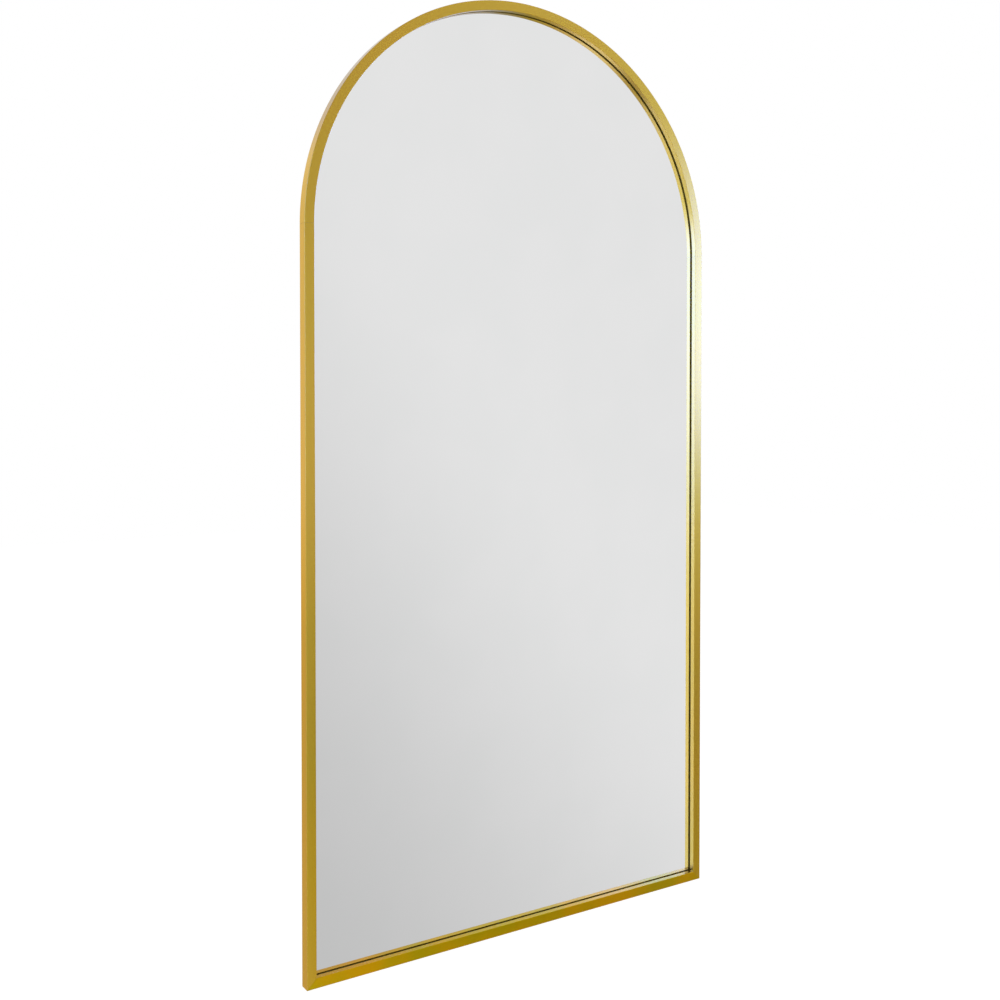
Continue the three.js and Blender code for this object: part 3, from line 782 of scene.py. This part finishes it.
@dataclass
class CarriedParts:
    """The model's own nodes that stay: flat sheets, and what hides inside the frame."""

    materials: Materials

    def build(self) -> None:
        """Gives each node its finish."""
        finishes = {
            "mirror_glass": self.materials.silver,
            "safety_film": self.materials.film,
            "backing_board": self.materials.board,
        }
        for side in Side:
            finishes[f"corner_key_{side.word}"] = self.materials.mill
            finishes[f"splice_key_{side.word}"] = self.materials.mill
            finishes[f"key_screw_{side.word}_stile"] = self.materials.zinc
            finishes[f"key_screw_{side.word}_rail"] = self.materials.zinc
        for node, material in finishes.items():
            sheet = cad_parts[node]
            sheet.data.materials.clear()
            sheet.data.materials.append(material)
            LOG.info("%s keeps its shape", node)


@dataclass
class Screws:
    """The pan-head screws, all alike."""

    materials: Materials
    head_height: float = 0.0018
    dome_start: float = 0.0007
    shank: float = 0.0011
    thread_depth: float = 0.0002
    thread_pitch: float = 0.0009
    slot_length: float = 0.0033
    slot_width: float = 0.00085
    slot_depth: float = 0.001
    dome_steps: int = 6
    dome_power: float = 0.6
    sides: int = 28

    def profile(self, radius: float, length: float) -> Outline:
        """The screw's profile, from its point to the top of its head, with the seat at 0."""
        root, start = self.shank - self.thread_depth, 2 * self.shank - length
        points = [(0.0, -length), (root, start)]
        for i in range(int(-start / self.thread_pitch)):
            crest = start + (i + 0.5) * self.thread_pitch
            points += [(self.shank, crest), (root, crest + self.thread_pitch / 2)]
        points += [(self.shank, 0), (radius, 0), (radius, self.dome_start)]
        rise = self.head_height - self.dome_start
        for step in range(1, self.dome_steps):
            angle = math.pi / 2 * step / self.dome_steps
            out = radius * math.cos(angle) ** self.dome_power
            points.append((out, self.dome_start + rise * math.sin(angle)))
        return points + [(0.0, self.head_height)]

    def shape(self, radius: float, length: float) -> Shape:
        """A screw along Y, with the seat of its head at Y = 0 and a cross cut in its head."""
        made = Shape.turned(self.profile(radius, length), self.sides, along_y(0, 0, 0))
        half, long = self.slot_width / 2, self.slot_length / 2
        floor, over = self.head_height - self.slot_depth, self.head_height * 2
        made.cut(Shape.plate([rounded_box(-long, -half, long, half, 0)], floor, over))
        return made.cut(Shape.plate([rounded_box(-half, -long, half, long, 0)], floor, over))

    def build(self) -> None:
        """Builds every screw that holds hardware to the frame or braces."""
        names = [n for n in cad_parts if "screw" in n and not n.startswith("key_screw")]
        master: bpy.types.Mesh | None = None
        for name in names:
            low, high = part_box(name)
            place = middle(name)
            if master is None:
                length = high.y - low.y - self.head_height
                piece = self.shape((high.z - low.z) / 2, length).piece(f"zinc_{name}")
                master = piece.data.copy()
            else:
                piece = bpy.data.objects.new(f"zinc_{name}", master.copy())
                bpy.context.scene.collection.objects.link(piece)
            piece.location = (place.x, high.y - self.head_height, place.z)
            dress(piece, self.materials.zinc, Slot.STEEL, nodes=[name])


@dataclass
class Clips:
    """The spring-steel clips that hold the board forward."""

    sizes: FrameSizes
    materials: Materials
    setback: float = 0.0012
    length: float = 0.022
    width: float = 0.014
    thickness: float = 0.0012
    corner: float = 0.003
    groove: float = 0.0049
    hole: float = 0.0015
    bead_gap: float = 0.0042
    bead_length: float = 0.009
    bead_width: float = 0.0024
    bead_corner: float = 0.001176
    bead_depth: float = 0.0003
    edge: float = 0.0002

    def shape(self) -> Shape:
        """A clip that reaches along +X from the frame's outer edge, on Z = 0."""
        front = self.sizes.rear + SEAT_GAP
        half = self.width / 2
        outline = rounded_box(self.setback, -half, self.setback + self.length, half, self.corner)
        made = Shape.plate([outline], front, front + self.thickness)
        made.drill(self.groove, 0, self.hole, front - self.thickness, front + 2 * self.thickness)
        start, rear = self.groove + self.bead_gap, front + self.thickness
        for side in Side:
            low = side.value * self.width / 4 - self.bead_width / 2
            bead = rounded_box(start, low, start + self.bead_length, low + self.bead_width,
                               self.bead_corner)
            made.cut(Shape.plate([bead], rear - self.bead_depth, rear + self.thickness))
        return made

    def build(self) -> None:
        """Builds all six clips."""
        for side in Side:
            self.place(f"side_{side.word}", 0 if side is Side.LEFT else math.pi)
            self.place(f"base_{side.word}", -math.pi / 2)
            self.place(f"arch_{side.word}", math.pi / 4 if side is Side.LEFT else 3 * math.pi / 4)

    def place(self, name: str, turn: float) -> None:
        """Builds one clip, turned about Y as the model's own is.

        Args:
            name: The clip's place, as its node names it.
            turn: Its turn about Y.
        """
        piece = self.shape().piece(f"steel_clip_{name}", self.edge)
        spin = Matrix.Rotation(turn, 4, "Y")
        centre = spin @ Vector((self.setback + self.length / 2, 0, 0))
        spot = middle(f"clip_{name}")
        piece.matrix_world = Matrix.Translation((spot.x - centre.x, 0, spot.z - centre.z)) @ spin
        dress(piece, self.materials.zinc, Slot.STEEL, nodes=[f"clip_{name}"])


@dataclass
class Braces:
    """The two cross tubes."""

    materials: Materials
    tab: float = 0.011
    wall: float = 0.0015
    corner: float = 0.0018
    inner_corner: float = 0.0006
    hole: float = 0.0015
    edge: float = 0.00025

    def build_brace(self, name: str, rear_screws: Sequence[str]) -> None:
        """Builds one brace.

        Args:
            name: Its node's name.
            rear_screws: The screws that go through its rear wall.
        """
        low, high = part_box(name)
        end = high.x - self.tab
        outer = rounded_box(low.y, low.z, high.y, high.z, self.corner)
        inner = rounded_box(low.y + self.wall, low.z + self.wall, high.y - self.wall,
                            high.z - self.wall, self.inner_corner)
        shape = Shape.drawn_along_x([outer, inner], -end, end)
        for side in Side:
            start, stop = sorted((side.value * (end - self.wall), side.value * high.x))
            inset = self.corner / 2
            leaf = rounded_box(start, low.z + inset, stop, high.z - inset, self.corner)
            shape.join(Shape.plate([leaf], low.y, low.y + self.wall))
            shape.drill_for(f"{name}_screw_{side.word}", self.hole, low.y, self.wall)
        for screw in rear_screws:
            shape.drill_for(screw, self.hole, high.y - self.wall, self.wall)
        dress(shape.piece(f"mill_{name}", self.edge), self.materials.mill, Slot.BRACE, nodes=[name])

    def build(self) -> None:
        """Builds both braces."""
        screws = [f"hinge_screw_{side.word}_{way}" for side in Side for way in "ab"]
        screws += [f"ring_screw_{side.word}" for side in Side]
        self.build_brace("upper_brace", screws)
        self.build_brace("lower_brace", [])


@dataclass
class Hinges:
    """The brackets and rivets that the stand turns on."""

    materials: Materials
    plate: float = 0.002
    plate_corner: float = 0.004
    cheek: float = 0.0025
    cheek_gap: float = 0.0033
    eye: float = 0.008
    screw_hole: float = 0.0015
    pin_room: float = 0.0003
    shank: float = 0.003
    cheek_steps: int = 24
    dome_steps: int = 5
    dome_power: float = 0.7
    rivet_sides: int = 40
    edge: float = 0.0004

    def build_bracket(self, side: Side) -> None:
        """Builds one bracket: a base plate with two cheeks."""
        name = f"hinge_bracket_{side.word}"
        low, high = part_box(name)
        spot, pin_y = middle(name), high.y - self.eye
        outline = rounded_box(low.x, low.z, high.x, high.z, self.plate_corner)
        shape = Shape.plate([outline], low.y, low.y + self.plate)
        cheek = [(low.y + self.plate / 2, spot.z - self.eye)]
        cheek += arc((pin_y, spot.z), self.eye, -90, 90, self.cheek_steps)
        cheek += [(low.y + self.plate / 2, spot.z + self.eye)]
        for way in Side:
            near, far = (spot.x + way.value * d for d in (self.cheek_gap, self.cheek_gap + self.cheek))
            shape.join(Shape.drawn_along_x([cheek], min(near, far), max(near, far)))
        reach = self.cheek_gap + 2 * self.cheek
        bore = self.shank + self.pin_room
        shape.cut(Shape.rod(bore, 2 * reach, along_x(spot.x - reach, pin_y, spot.z)))
        for way in "ab":
            shape.drill_for(f"hinge_screw_{side.word}_{way}", self.screw_hole, low.y, self.plate)
        dress(shape.piece(f"steel_{name}", self.edge), self.materials.zinc, Slot.STEEL, nodes=[name])

    def build_rivet(self, side: Side) -> None:
        """Builds one rivet, with a domed head at each end."""
        name = f"hinge_rivet_{side.word}"
        low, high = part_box(name)
        spot, radius, half = middle(name), (high.z - low.z) / 2, (high.x - low.x) / 2
        seat = self.cheek_gap + self.cheek + SEAT_GAP
        head = half - seat
        quarter = [math.pi / 2 * i / self.dome_steps for i in range(self.dome_steps)]
        dome = [(radius * math.cos(a) ** self.dome_power, seat + head * math.sin(a)) for a in quarter]
        upper = [(self.shank, seat)] + dome + [(0.0, half)]
        profile = [(r, -h) for r, h in reversed(upper)] + upper
        shape = Shape.turned(profile, self.rivet_sides, along_x(spot.x, spot.y, spot.z))
        dress(shape.piece(f"steel_{name}"), self.materials.zinc, Slot.STEEL, nodes=[name])

    def build(self) -> None:
        """Builds both hinges."""
        for side in Side:
            self.build_bracket(side)
            self.build_rivet(side)


@dataclass
class Stand:
    """The fold-out stand: a bent tube, its lugs and its rubber feet."""

    materials: Materials
    wall: float = 0.0015
    bend: float = 0.06
    bend_steps: int = 18
    sides: int = 40
    lug_half: float = 0.003
    lug_eye: float = 0.0075
    lug_flat: float = 0.0053
    collar: float = 0.003
    spigot_room: float = 0.0003
    pin_hole: float = 0.0033
    rib_count: int = 9
    rib_depth: float = 0.0006
    rib_profile: tuple[tuple[float, float], ...] = ((-0.8, 0.0), (-0.5, 1.0), (0.5, 1.0), (0.8, 0.0))
    lug_sides: int = 48
    bore_sides: int = 32
    foot_sides: int = 56
    edge: float = 0.0004

    def build_tube(self) -> None:
        """Builds the tube along its path: down a leg, across and up the other."""
        low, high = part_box("stand_tube")
        radius, axis_y = (high.y - low.y) / 2, (high.y + low.y) / 2
        leg, bar = high.x - radius, low.z + radius
        turn_x, turn_z = leg - self.bend, bar + self.bend
        left = arc((-turn_x, turn_z), self.bend, 180, 270, self.bend_steps)
        right = arc((turn_x, turn_z), self.bend, 270, 360, self.bend_steps)
        bend = [math.pi / 2 * i / self.bend_steps for i in range(self.bend_steps + 1)]
        turns = [0.0] + bend + [math.pi / 2 + a for a in bend] + [math.pi]
        path = [(-leg, high.z)] + left + right + [(leg, high.z)]
        loops = [circle(radius, self.sides), circle(radius - self.wall, self.sides)]
        shape = Shape.bent(loops, path, [math.pi + a for a in turns], axis_y)
        piece = shape.piece("black_stand_tube")
        dress(piece, self.materials.powder, Slot.STAND, Body.STAND, ["stand_tube"])

    def build_lug(self, side: Side) -> None:
        """Builds the lug in one leg's top end."""
        name = f"stand_lug_{side.word}"
        low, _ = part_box(name)
        tube_low, tube_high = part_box("stand_tube")
        radius = (tube_high.y - tube_low.y) / 2
        pin = middle(f"hinge_rivet_{side.word}")
        seat = tube_high.z + SEAT_GAP
        spigot = radius - self.wall - self.spigot_room
        front, behind = pin.x - self.lug_half, pin.x + self.lug_half
        eye = along_x(front, pin.y, pin.z)
        shape = Shape.rod(self.lug_eye, 2 * self.lug_half, eye, self.lug_sides)
        neck = rounded_box(pin.y - self.lug_flat, seat, pin.y + self.lug_flat, pin.z, 0)
        shape.join(Shape.drawn_along_x([neck], front, behind))
        shape.join(Shape.rod(radius, self.collar, along_z(pin.x, pin.y, seat), self.lug_sides))
        length = seat + self.collar / 2 - low.z
        shape.join(Shape.rod(spigot, length, along_z(pin.x, pin.y, low.z), self.bore_sides))
        reach = 2 * self.lug_half
        hole = along_x(pin.x - reach, pin.y, pin.z)
        shape.cut(Shape.rod(self.pin_hole, 2 * reach, hole, self.bore_sides))
        piece = shape.piece(f"steel_{name}", self.edge)
        dress(piece, self.materials.zinc, Slot.STEEL, Body.STAND, [name])

    def build_foot(self, side: Side) -> None:
        """Builds one ribbed rubber sleeve on the bottom bar."""
        name = f"stand_foot_{side.word}"
        low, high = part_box(name)
        tube_low, tube_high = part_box("stand_tube")
        spot, radius, length = middle(name), (high.z - low.z) / 2, high.x - low.x
        bore = (tube_high.y - tube_low.y) / 2 + SEAT_GAP
        pitch = length / (self.rib_count + 1)
        profile = [(bore, 0.0), (radius - self.rib_depth, 0.0), (radius, self.rib_depth)]
        for i in range(1, self.rib_count + 1):
            place = i * pitch
            for shift, depth in self.rib_profile:
                profile.append((radius - depth * self.rib_depth, place + shift * self.rib_depth))
        profile += [(radius, length - self.rib_depth), (radius - self.rib_depth, length)]
        profile.append((bore, length))
        shape = Shape.turned(profile, self.foot_sides, along_x(low.x, spot.y, spot.z), closed=True)
        piece = shape.piece(f"rubber_{name}")
        dress(piece, self.materials.rubber, Slot.RUBBER, Body.STAND, [name])

    def build(self) -> None:
        """Builds the whole stand."""
        self.build_tube()
        for side in Side:
            self.build_lug(side)
            self.build_foot(side)


@dataclass
class Hangers:
    """The hanging rings and the straps they turn in."""

    materials: Materials
    wire: float = 0.0015
    corner: float = 0.003
    half_split: float = 0.0003
    strap: float = 0.0015
    hole: float = 0.0015
    edge: float = 0.0002
    sides: int = 20
    corner_steps: int = 8
    bow_steps: int = 32
    curl_steps: int = 40
    curl_end: float = -62.0

    def build_ring(self, side: Side) -> None:
        """Builds one D-shaped ring of bent wire."""
        name = f"hanging_ring_{side.word}"
        low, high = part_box(name)
        spot = middle(name)
        half = (high.x - low.x) / 2 - self.wire
        axis_z, bow_z = high.z - self.wire, low.z + self.wire + half
        across = half - self.corner
        path = [(self.half_split, axis_z)]
        path += arc((across, axis_z - self.corner), self.corner, 90, 0, self.corner_steps)
        path += arc((0, bow_z), half, 0, -180, self.bow_steps)
        path += arc((-across, axis_z - self.corner), self.corner, 180, 90, self.corner_steps)
        path += [(-self.half_split, axis_z)]
        quarter, steps = math.pi / 2, self.corner_steps
        corner = [quarter - quarter * i / steps for i in range(steps + 1)]
        bow = [-math.pi * i / self.bow_steps for i in range(self.bow_steps + 1)]
        turns = [quarter] + corner + bow + [a - 3 * quarter for a in corner] + [-3 * quarter]
        path = [(spot.x + x, z) for x, z in path]
        shape = Shape.bent([circle(self.wire, self.sides)], path, turns, spot.y)
        body = Body[f"RING_{side.name}"]
        dress(shape.piece(f"steel_{name}"), self.materials.zinc, Slot.STEEL, body, [name])

    def build_strap(self, side: Side) -> None:
        """Builds one strap, curled round the ring's straight bar."""
        name = f"ring_strap_{side.word}"
        low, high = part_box(name)
        spot, curl = middle(name), (high.y - low.y) / 2
        axis = (spot.y, high.z - curl)
        outline = [(low.y, low.z)] + arc(axis, curl, 180, self.curl_end, self.curl_steps)
        outline += arc(axis, curl - self.strap, self.curl_end, 180, self.curl_steps)
        outline.append((low.y + self.strap, low.z))
        shape = Shape.drawn_along_x([outline], low.x, high.x)
        blank = rounded_box(low.x, low.z, high.x, high.z + curl, 2 * self.strap)
        shape.trim(Shape.plate([blank], low.y - curl, high.y + curl))
        shape.drill_for(f"ring_screw_{side.word}", self.hole, low.y, self.strap)
        dress(shape.piece(f"steel_{name}", self.edge), self.materials.zinc, Slot.STEEL, nodes=[name])

    def build(self) -> None:
        """Builds both hangers."""
        for side in Side:
            self.build_ring(side)
            self.build_strap(side)


@dataclass
class Rubber:
    """The heels on the floor and the bumpers for the wall."""

    sizes: FrameSizes
    materials: Materials
    chamfer: float = 0.005
    tongue_half: float = 0.0012
    groove: float = 0.0049
    tread_count: int = 5
    tread_width: float = 0.0014
    tread_depth: float = 0.0007
    tread_top: float = 0.007
    overlap: float = 0.001
    edge: float = 0.0003
    shoulder_share: float = 0.5
    flat_share: float = 0.55
    foot_share: float = 0.97
    foot_rise: float = 0.04
    dome_steps: int = 8
    sides: int = 56

    def build_heel(self, side: Side) -> None:
        """Builds one heel: a wedge with a tread behind and a tongue in the rail's groove."""
        name = f"heel_{side.word}"
        low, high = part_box(name)
        front = self.sizes.rear + SEAT_GAP
        wedge = [(front, low.z), (high.y, low.z), (high.y, high.z - self.chamfer)]
        wedge += [(high.y - self.chamfer, high.z), (front, high.z)]
        shape = Shape.drawn_along_x([wedge], low.x, high.x)
        tongue = rounded_box(low.y, self.groove - self.tongue_half, front + self.overlap,
                             self.groove + self.tongue_half, 0)
        shape.join(Shape.drawn_along_x([tongue], low.x, high.x))
        pitch = (high.x - low.x) / (self.tread_count + 1)
        for i in range(1, self.tread_count + 1):
            start = low.x + i * pitch - self.tread_width / 2
            groove = rounded_box(start, low.z - self.tread_width, start + self.tread_width,
                                 high.z - self.tread_top, 0)
            shape.cut(Shape.plate([groove], high.y - self.tread_depth, high.y + self.tread_depth))
        piece = shape.piece(f"rubber_{name}", self.edge)
        dress(piece, self.materials.rubber, Slot.RUBBER, nodes=[name])

    def build_bumper(self, side: Side) -> None:
        """Builds one domed bumper on the backing board."""
        name = f"wall_bumper_{side.word}"
        low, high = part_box(name)
        spot, radius, height = middle(name), (high.x - low.x) / 2, high.y - low.y
        shoulder, flat = height * self.shoulder_share, radius * self.flat_share
        profile = [(0.0, 0.0), (radius * self.foot_share, 0.0), (radius, radius * self.foot_rise)]
        profile.append((radius, shoulder))
        for step in range(1, self.dome_steps):
            angle = math.pi / 2 * step / self.dome_steps
            out = flat + (radius - flat) * math.cos(angle)
            profile.append((out, shoulder + (height - shoulder) * math.sin(angle)))
        profile += [(flat, height), (0.0, height)]
        shape = Shape.turned(profile, self.sides, along_y(spot.x, low.y, spot.z))
        dress(shape.piece(f"rubber_{name}"), self.materials.rubber, Slot.RUBBER, nodes=[name])

    def build(self) -> None:
        """Builds all four pieces."""
        for side in Side:
            self.build_heel(side)
            self.build_bumper(side)


# ------------------------------------------------------------------ the studio


@dataclass(frozen=True)
class SoftBox:
    """A soft-edged box light of the studio, far off, that only metal shows. Angles are in degrees."""

    azimuth: float
    elevation: float
    half_width: float
    half_height: float
    edge: float
    light: Triple

    def mask(self, graph: Graph, direction: bpy.types.NodeSocket) -> bpy.types.NodeSocket:
        """How far a direction lies inside the box, from 0 to 1.

        Args:
            graph: The world's graph.
            direction: The direction looked along.

        Returns:
            The mask.
        """
        turned = graph.node("ShaderNodeVectorRotate", rotation_type="Z_AXIS", Vector=direction,
                            Angle=-math.radians(self.azimuth))
        parts = graph.node("ShaderNodeSeparateXYZ", Vector=turned.outputs[0])
        ahead = graph.math("MULTIPLY", parts.outputs["Y"], -1.0)
        across = graph.math("ABSOLUTE", graph.math("ARCTAN2", parts.outputs["X"], ahead))
        height = graph.math("ARCSINE", parts.outputs["Z"])
        rise = graph.math("ABSOLUTE", graph.math("SUBTRACT", height, math.radians(self.elevation)))
        inside = []
        for angle, half in ((across, self.half_width), (rise, self.half_height)):
            inside.append(graph.ramp(angle, math.radians(half), math.radians(half + self.edge), 1, 0))
        return graph.math("MULTIPLY", *inside)


@dataclass
class Studio:
    """The floor, the light and the camera."""

    camera_place: Triple = (-1.27943, -1.9266, 1.03435)
    camera_yaw: float = 32.56
    camera_pitch: float = -1.165
    focal_pixels: float = 1185.87
    middle_row: float = 425.0
    picture: float = 1000.0
    sensor: float = 36.0
    near: float = 0.05
    far: float = 60.0
    floor_size: float = 14.0
    floor_drop: float = 0.0004
    floor_glow: float = 0.9
    floor_matte: Triple = (0.2, 0.2, 0.2)
    floor_colour: Triple = (0.8, 0.8, 0.8)
    lamps: tuple[tuple[str, Triple], ...] = (
        ("front_lamp", (-2.2, -3.0, 3.2)),
        ("rear_lamp", (2.0, 3.2, 3.0)),
    )
    lamp_target: Triple = (0.0, 0.0, 0.9)
    lamp_size: float = 1.8
    lamp_power: float = 60.0
    ambient: float = 0.55
    first_depth: float = 1.5
    slope: Triple = (0.832, 0.166, 0.53)
    slope_start: float = -0.096
    slope_end: float = 0.325
    slope_low: float = 0.583
    slope_high: float = 0.854
    boxes: tuple[SoftBox, ...] = (
        SoftBox(50, 4, 8, 3, 6, (2.9, 5.65, 18.0)),
        SoftBox(43, 36, 13, 9, 4, (1.17, 1.19, -0.2)),
        SoftBox(-58, 13, 19, 9, 14, (1.6, 3.5, 15.5)),
        SoftBox(-44, -21, 18, 20, 14, (1.15, 1.6, 2.2)),
        SoftBox(-155, 15, 9, 19, 8, (0.8, 0.6, -0.1)),
        SoftBox(-160, -21, 9, 10, 8, (0.42, 0.16, -0.4)),
        SoftBox(25, -34, 20, 9, 13, (0.3, 0.19, -0.26)),
        SoftBox(10, -21, 4, 20, 14, (0.95, 1.3, 1.56)),
        SoftBox(25, -17, 18, 6, 5, (-0.5, -0.43, -0.5)),
        SoftBox(45, 27, 6, 4, 3, (0.35, 1.8, 7.5)),
    )

    def build_camera(self) -> None:
        """Stands the camera where the photograph was taken from."""
        lens = bpy.data.cameras.new("camera")
        lens.sensor_width = self.sensor
        lens.lens = self.sensor * self.focal_pixels / self.picture
        lens.shift_y = (self.middle_row - self.picture / 2) / self.picture
        lens.clip_start, lens.clip_end = self.near, self.far
        camera = bpy.data.objects.new("camera", lens)
        yaw, pitch = math.radians(self.camera_yaw), math.radians(self.camera_pitch)
        level = Vector((math.sin(yaw), math.cos(yaw), 0))
        ahead = level * math.cos(pitch) + Vector((0, 0, math.sin(pitch)))
        right = Vector((math.cos(yaw), -math.sin(yaw), 0))
        turn_matrix = Matrix((right, right.cross(ahead), -ahead)).transposed().to_4x4()
        camera.matrix_world = Matrix.Translation(self.camera_place) @ turn_matrix
        bpy.context.scene.collection.objects.link(camera)
        bpy.context.scene.camera = camera

    def build_world(self) -> None:
        """Builds the world: white to the camera, a grey slope to the mirror, bright patches to metal."""
        world = bpy.data.worlds.new("studio")
        bpy.context.scene.world = world
        world.use_nodes = True
        world.cycles.sampling_method = "NONE"
        graph = Graph(world.node_tree)
        graph.tree.nodes.clear()
        direction = graph.node("ShaderNodeTexCoord").outputs["Generated"]
        slope = graph.vector("DOT_PRODUCT", direction, self.slope).outputs["Value"]
        grey = graph.ramp(slope, self.slope_start, self.slope_end, self.slope_low, self.slope_high)
        light = graph.node("ShaderNodeCombineXYZ", X=grey, Y=grey, Z=grey).outputs[0]
        path = graph.node("ShaderNodeLightPath")
        first_bounce = graph.math("LESS_THAN", path.outputs["Glossy Depth"], self.first_depth)
        plain_mirror = graph.math("MULTIPLY", path.outputs["Is Singular Ray"], first_bounce)
        shown = graph.math("SUBTRACT", 1.0, plain_mirror)
        for box in self.boxes:
            strength = graph.math("MULTIPLY", box.mask(graph, direction), shown)
            share = graph.node("ShaderNodeVectorMath", box.light, operation="SCALE", Scale=strength)
            light = graph.vector("ADD", light, share.outputs[0]).outputs[0]
        light = graph.vector("MAXIMUM", light, (0, 0, 0)).outputs[0]
        seen = graph.shader("ShaderNodeBackground", WHITE, 1.0)
        mirrored = graph.shader("ShaderNodeBackground", light, 1.0)
        plain = graph.shader("ShaderNodeBackground", WHITE, self.ambient)
        others = graph.shader("ShaderNodeMixShader", path.outputs["Is Glossy Ray"], plain, mirrored)
        whole = graph.shader("ShaderNodeMixShader", path.outputs["Is Camera Ray"], others, seen)
        graph.node("ShaderNodeOutputWorld", whole)

    def build_floor(self) -> None:
        """A white floor that takes a faint shadow and doesn't show in metal or glass."""
        bm = bmesh.new()
        bmesh.ops.create_grid(bm, x_segments=2, y_segments=2, size=self.floor_size / 2)
        sheet = bpy.data.meshes.new("studio_floor")
        bm.to_mesh(sheet)
        bm.free()
        floor = bpy.data.objects.new("studio_floor", sheet)
        bpy.context.scene.collection.objects.link(floor)
        floor.location.z = -self.floor_drop
        made = bpy.data.materials.new("studio_floor")
        made.use_nodes = True
        graph = Graph(made.node_tree)
        graph.tree.nodes.clear()
        path = graph.node("ShaderNodeLightPath")
        glow = graph.shader("ShaderNodeEmission", WHITE, self.floor_glow)
        matte = graph.shader("ShaderNodeBsdfDiffuse", (*self.floor_matte, 1))
        lit = graph.shader("ShaderNodeAddShader", glow, matte)
        plain = graph.shader("ShaderNodeBsdfDiffuse", (*self.floor_colour, 1))
        clear = graph.shader("ShaderNodeBsdfTransparent")
        seen = graph.shader("ShaderNodeMixShader", path.outputs["Is Camera Ray"], plain, lit)
        shown = graph.shader("ShaderNodeMixShader", path.outputs["Is Glossy Ray"], seen, clear)
        graph.node("ShaderNodeOutputMaterial", shown)
        floor.data.materials.append(made)

    def build_lamp(self, name: str, place: Triple) -> None:
        """A large soft lamp that metal and glass don't show.

        Args:
            name: The lamp's name.
            place: Where it stands.
        """
        data = bpy.data.lights.new(name, "AREA")
        data.size = self.lamp_size
        data.energy = self.lamp_power
        lamp = bpy.data.objects.new(name, data)
        lamp.location = place
        lamp.rotation_mode = "QUATERNION"
        aim = Vector(self.lamp_target) - Vector(place)
        lamp.rotation_quaternion = aim.to_track_quat("-Z", "Y")
        lamp.visible_glossy = False
        bpy.context.scene.collection.objects.link(lamp)

    def build(self) -> None:
        """Builds the whole studio."""
        bpy.context.scene.view_settings.view_transform = "Standard"
        self.build_camera()
        self.build_world()
        self.build_floor()
        for name, place in self.lamps:
            self.build_lamp(name, place)


def main() -> None:
    """Builds the mirror's looks and its studio."""
    logging.basicConfig(level=logging.INFO, format="%(name)s: %(message)s")
    materials = Materials(SharedEffects())
    sizes = FrameSizes.from_model()
    Studio().build()
    MirrorFrame(sizes, materials).build()
    Glazing(sizes, materials).build()
    CarriedParts(materials).build()
    Screws(materials).build()
    Clips(sizes, materials).build()
    Braces(materials).build()
    Hinges(materials).build()
    Stand(materials).build()
    Hangers(materials).build()
    Rubber(sizes, materials).build()


if __name__ == "__main__":
    main()
